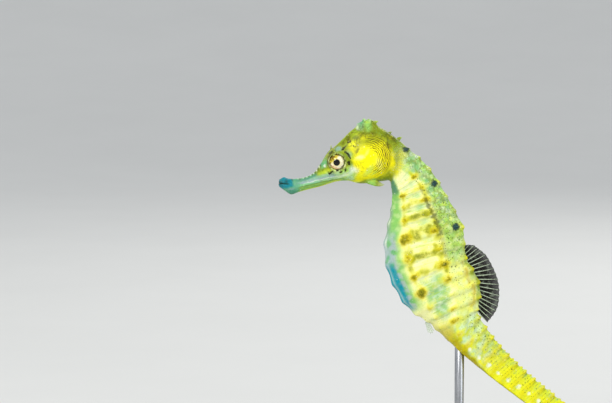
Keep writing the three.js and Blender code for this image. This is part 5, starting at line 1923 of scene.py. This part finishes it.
class SEAHORSE_OT_stand(bpy.types.Operator):
    """Build the turned base, the collar and the rod"""

    bl_idname = "seahorse.stand"
    bl_label = "Stand"

    def execute(self, context):
        settings = context.scene.seahorse_stand
        points, faces = lathe(rounded(BASE_PROFILE), STAND_SEGMENTS)
        base = mesh_object("display_base", points, faces, wood_material(settings))
        finish_piece(base, "stand_wood", "stand_base")

        inner, outer = ROD_RADIUS + 0.02, COLLAR_RADIUS
        foot, top = COLLAR_FOOT - 0.32, COLLAR_TOP
        profile = [
            (inner, foot, 0), (outer - 0.05, foot, 0.08), (outer, foot + 0.75, 0.12),
            (outer - 0.32, foot + 1.0, 0.1), (outer - 0.28, foot + 1.35, 0.1),
            (outer - 0.65, foot + 1.75, 0.25), (inner + 0.75, top - 0.35, 0.25),
            (inner + 0.3, top, 0.12), (inner, top, 0.05),
        ]
        ring = rounded([profile[-1], *profile, profile[0]])
        points, faces = turned_ring(ring[ARC_STEPS:-1], COLLAR_SEGMENTS)
        brass = metal_material("Turned brass", settings.brass, (300.0, 300.0, 9000.0))
        collar = mesh_object("display_collar", points, faces, brass)
        finish_piece(collar, "stand_brass", "stand_collar")

        rod = [(0, ROD_FOOT, 0), (ROD_RADIUS - 0.15, ROD_FOOT, 0), (ROD_RADIUS, ROD_FOOT + 0.15, 0),
               (ROD_RADIUS, ROD_TOP - 0.4, 0), (ROD_RADIUS - 0.3, ROD_TOP, 0), (0, ROD_TOP, 0)]
        points, faces = lathe(rounded(rod), ROD_SEGMENTS)
        steel = metal_material("Drawn steel", settings.steel, (9000.0, 9000.0, 300.0))
        finish_piece(mesh_object("display_rod", points, faces, steel), "stand_steel", "stand_rod")
        return {"FINISHED"}


# ---------------------------------------------------------------- stage

FLOOR_REACH = 2800.0
FLOOR_FLAT = 1000.0
FLOOR_RISE = 560.0
FLOOR_SEGMENTS = 96
LIGHT_TARGET = Vector((-0.012, 0, 0.08))


def floor_mesh():
    """A wide floor that sweeps gently up all round, well beyond every camera."""
    profile = [(FLOOR_FLAT * share, 0.0) for share in (0.04, 0.2, 0.6, 1.0)]
    for t in np.linspace(0, 1, 16)[1:]:
        profile.append((lerp(FLOOR_FLAT, FLOOR_REACH, t), FLOOR_RISE * t**2))
    rows = turned_rows(profile, FLOOR_SEGMENTS)
    faces = grid_faces(len(rows), FLOOR_SEGMENTS)[:, ::-1].tolist()
    middle = len(rows) * FLOOR_SEGMENTS
    faces += [(middle, j, (j + 1) % FLOOR_SEGMENTS) for j in range(FLOOR_SEGMENTS)]
    return np.concatenate([*rows, [(0, 0, 0)]]), faces


def floor_material(settings):
    material, nodes = new_material("Pale floor")
    cloud = nodes.group(grain_group(), Vector=nodes.place(), Scale=14.0, Pebble=0.0)
    tone = nodes.step(cloud["Variation"], 0.3, 0.7)
    nodes.surface(None, {
        "Base Color": nodes.blend(tone, darker(settings.floor, 0.97), settings.floor),
        "Roughness": 0.85,
    })
    return material


def area_light(name, place, size, power, tone):
    light = bpy.data.lights.new(name, "AREA")
    light.shape = "DISK"
    light.size = size
    light.energy = power
    light.color = tone
    made = link_object(name, light)
    made.location = place
    made.rotation_euler = (LIGHT_TARGET - Vector(place)).to_track_quat("-Z", "Y").to_euler()


def make_camera():
    camera = bpy.data.cameras.new("Camera")
    camera.sensor_width = SENSOR_WIDTH
    camera.lens = SENSOR_WIDTH * CAMERA_DISTANCE / CAMERA_WIDTH
    camera.clip_start, camera.clip_end = 0.01, 20
    made = link_object("Camera", camera)
    a, e = math.radians(CAMERA_AZIMUTH), math.radians(CAMERA_ELEVATION)
    back = Vector((math.sin(a) * math.cos(e), -math.cos(a) * math.cos(e), math.sin(e)))
    made.location = (Vector(CAMERA_TARGET) + back * CAMERA_DISTANCE) * MM
    made.rotation_euler = (-back).to_track_quat("-Z", "Y").to_euler()
    bpy.context.scene.camera = made


class SEAHORSE_OT_stage(bpy.types.Operator):
    """Build the floor, the lights and the camera"""

    bl_idname = "seahorse.stage"
    bl_label = "Stage"

    def execute(self, context):
        settings = context.scene.seahorse_stage
        points, faces = floor_mesh()
        mesh_object("floor", points, faces, floor_material(settings))
        area_light("Key light", (-0.42, -0.62, 0.62), 0.42, settings.key, (1.0, 0.985, 0.95))
        area_light("Fill light", (0.62, -0.5, 0.3), 0.6, settings.fill, (0.93, 0.97, 1.0))
        area_light("Rim light", (0.35, 0.6, 0.55), 0.4, settings.rim, (1.0, 0.99, 0.96))
        world = bpy.data.worlds.new("Studio")
        world.use_nodes = True
        sky = world.node_tree.nodes["Background"]
        sky.inputs["Color"].default_value = (0.93, 0.96, 1.0, 1)
        sky.inputs["Strength"].default_value = settings.sky
        context.scene.world = world
        context.scene.view_settings.view_transform = "Standard"
        make_camera()
        return {"FINISHED"}


# ---------------------------------------------------------------- panel and running

OPERATORS = (
    SEAHORSE_OT_skin,
    SEAHORSE_OT_eyes,
    SEAHORSE_OT_fins,
    SEAHORSE_OT_stand,
    SEAHORSE_OT_stage,
)
SETTINGS = {
    "seahorse_skin": SkinSettings,
    "seahorse_eye": EyeSettings,
    "seahorse_fin": FinSettings,
    "seahorse_stand": StandSettings,
    "seahorse_stage": StageSettings,
}


class SEAHORSE_PT_panel(bpy.types.Panel):
    """Lists the pieces and their settings"""

    bl_label = "Seahorse"
    bl_idname = "SEAHORSE_PT_panel"
    bl_space_type = "VIEW_3D"
    bl_region_type = "UI"
    bl_category = "Seahorse"

    def draw(self, context):
        for operator, key in zip(OPERATORS, SETTINGS):
            box = self.layout.box()
            box.operator(operator.bl_idname)
            group = getattr(context.scene, key)
            for name in group.__annotations__:
                box.prop(group, name)


def register():
    for key, kind in SETTINGS.items():
        bpy.utils.register_class(kind)
        setattr(bpy.types.Scene, key, PointerProperty(type=kind))
    for kind in (*OPERATORS, SEAHORSE_PT_panel):
        bpy.utils.register_class(kind)


def unregister():
    for kind in (SEAHORSE_PT_panel, *reversed(OPERATORS)):
        bpy.utils.unregister_class(kind)
    for key, kind in SETTINGS.items():
        delattr(bpy.types.Scene, key)
        bpy.utils.unregister_class(kind)


def main():
    register()
    bpy.ops.seahorse.stage()
    bpy.ops.seahorse.skin()
    bpy.ops.seahorse.eyes()
    bpy.ops.seahorse.fins()
    bpy.ops.seahorse.stand()


if __name__ == "__main__":
    main()
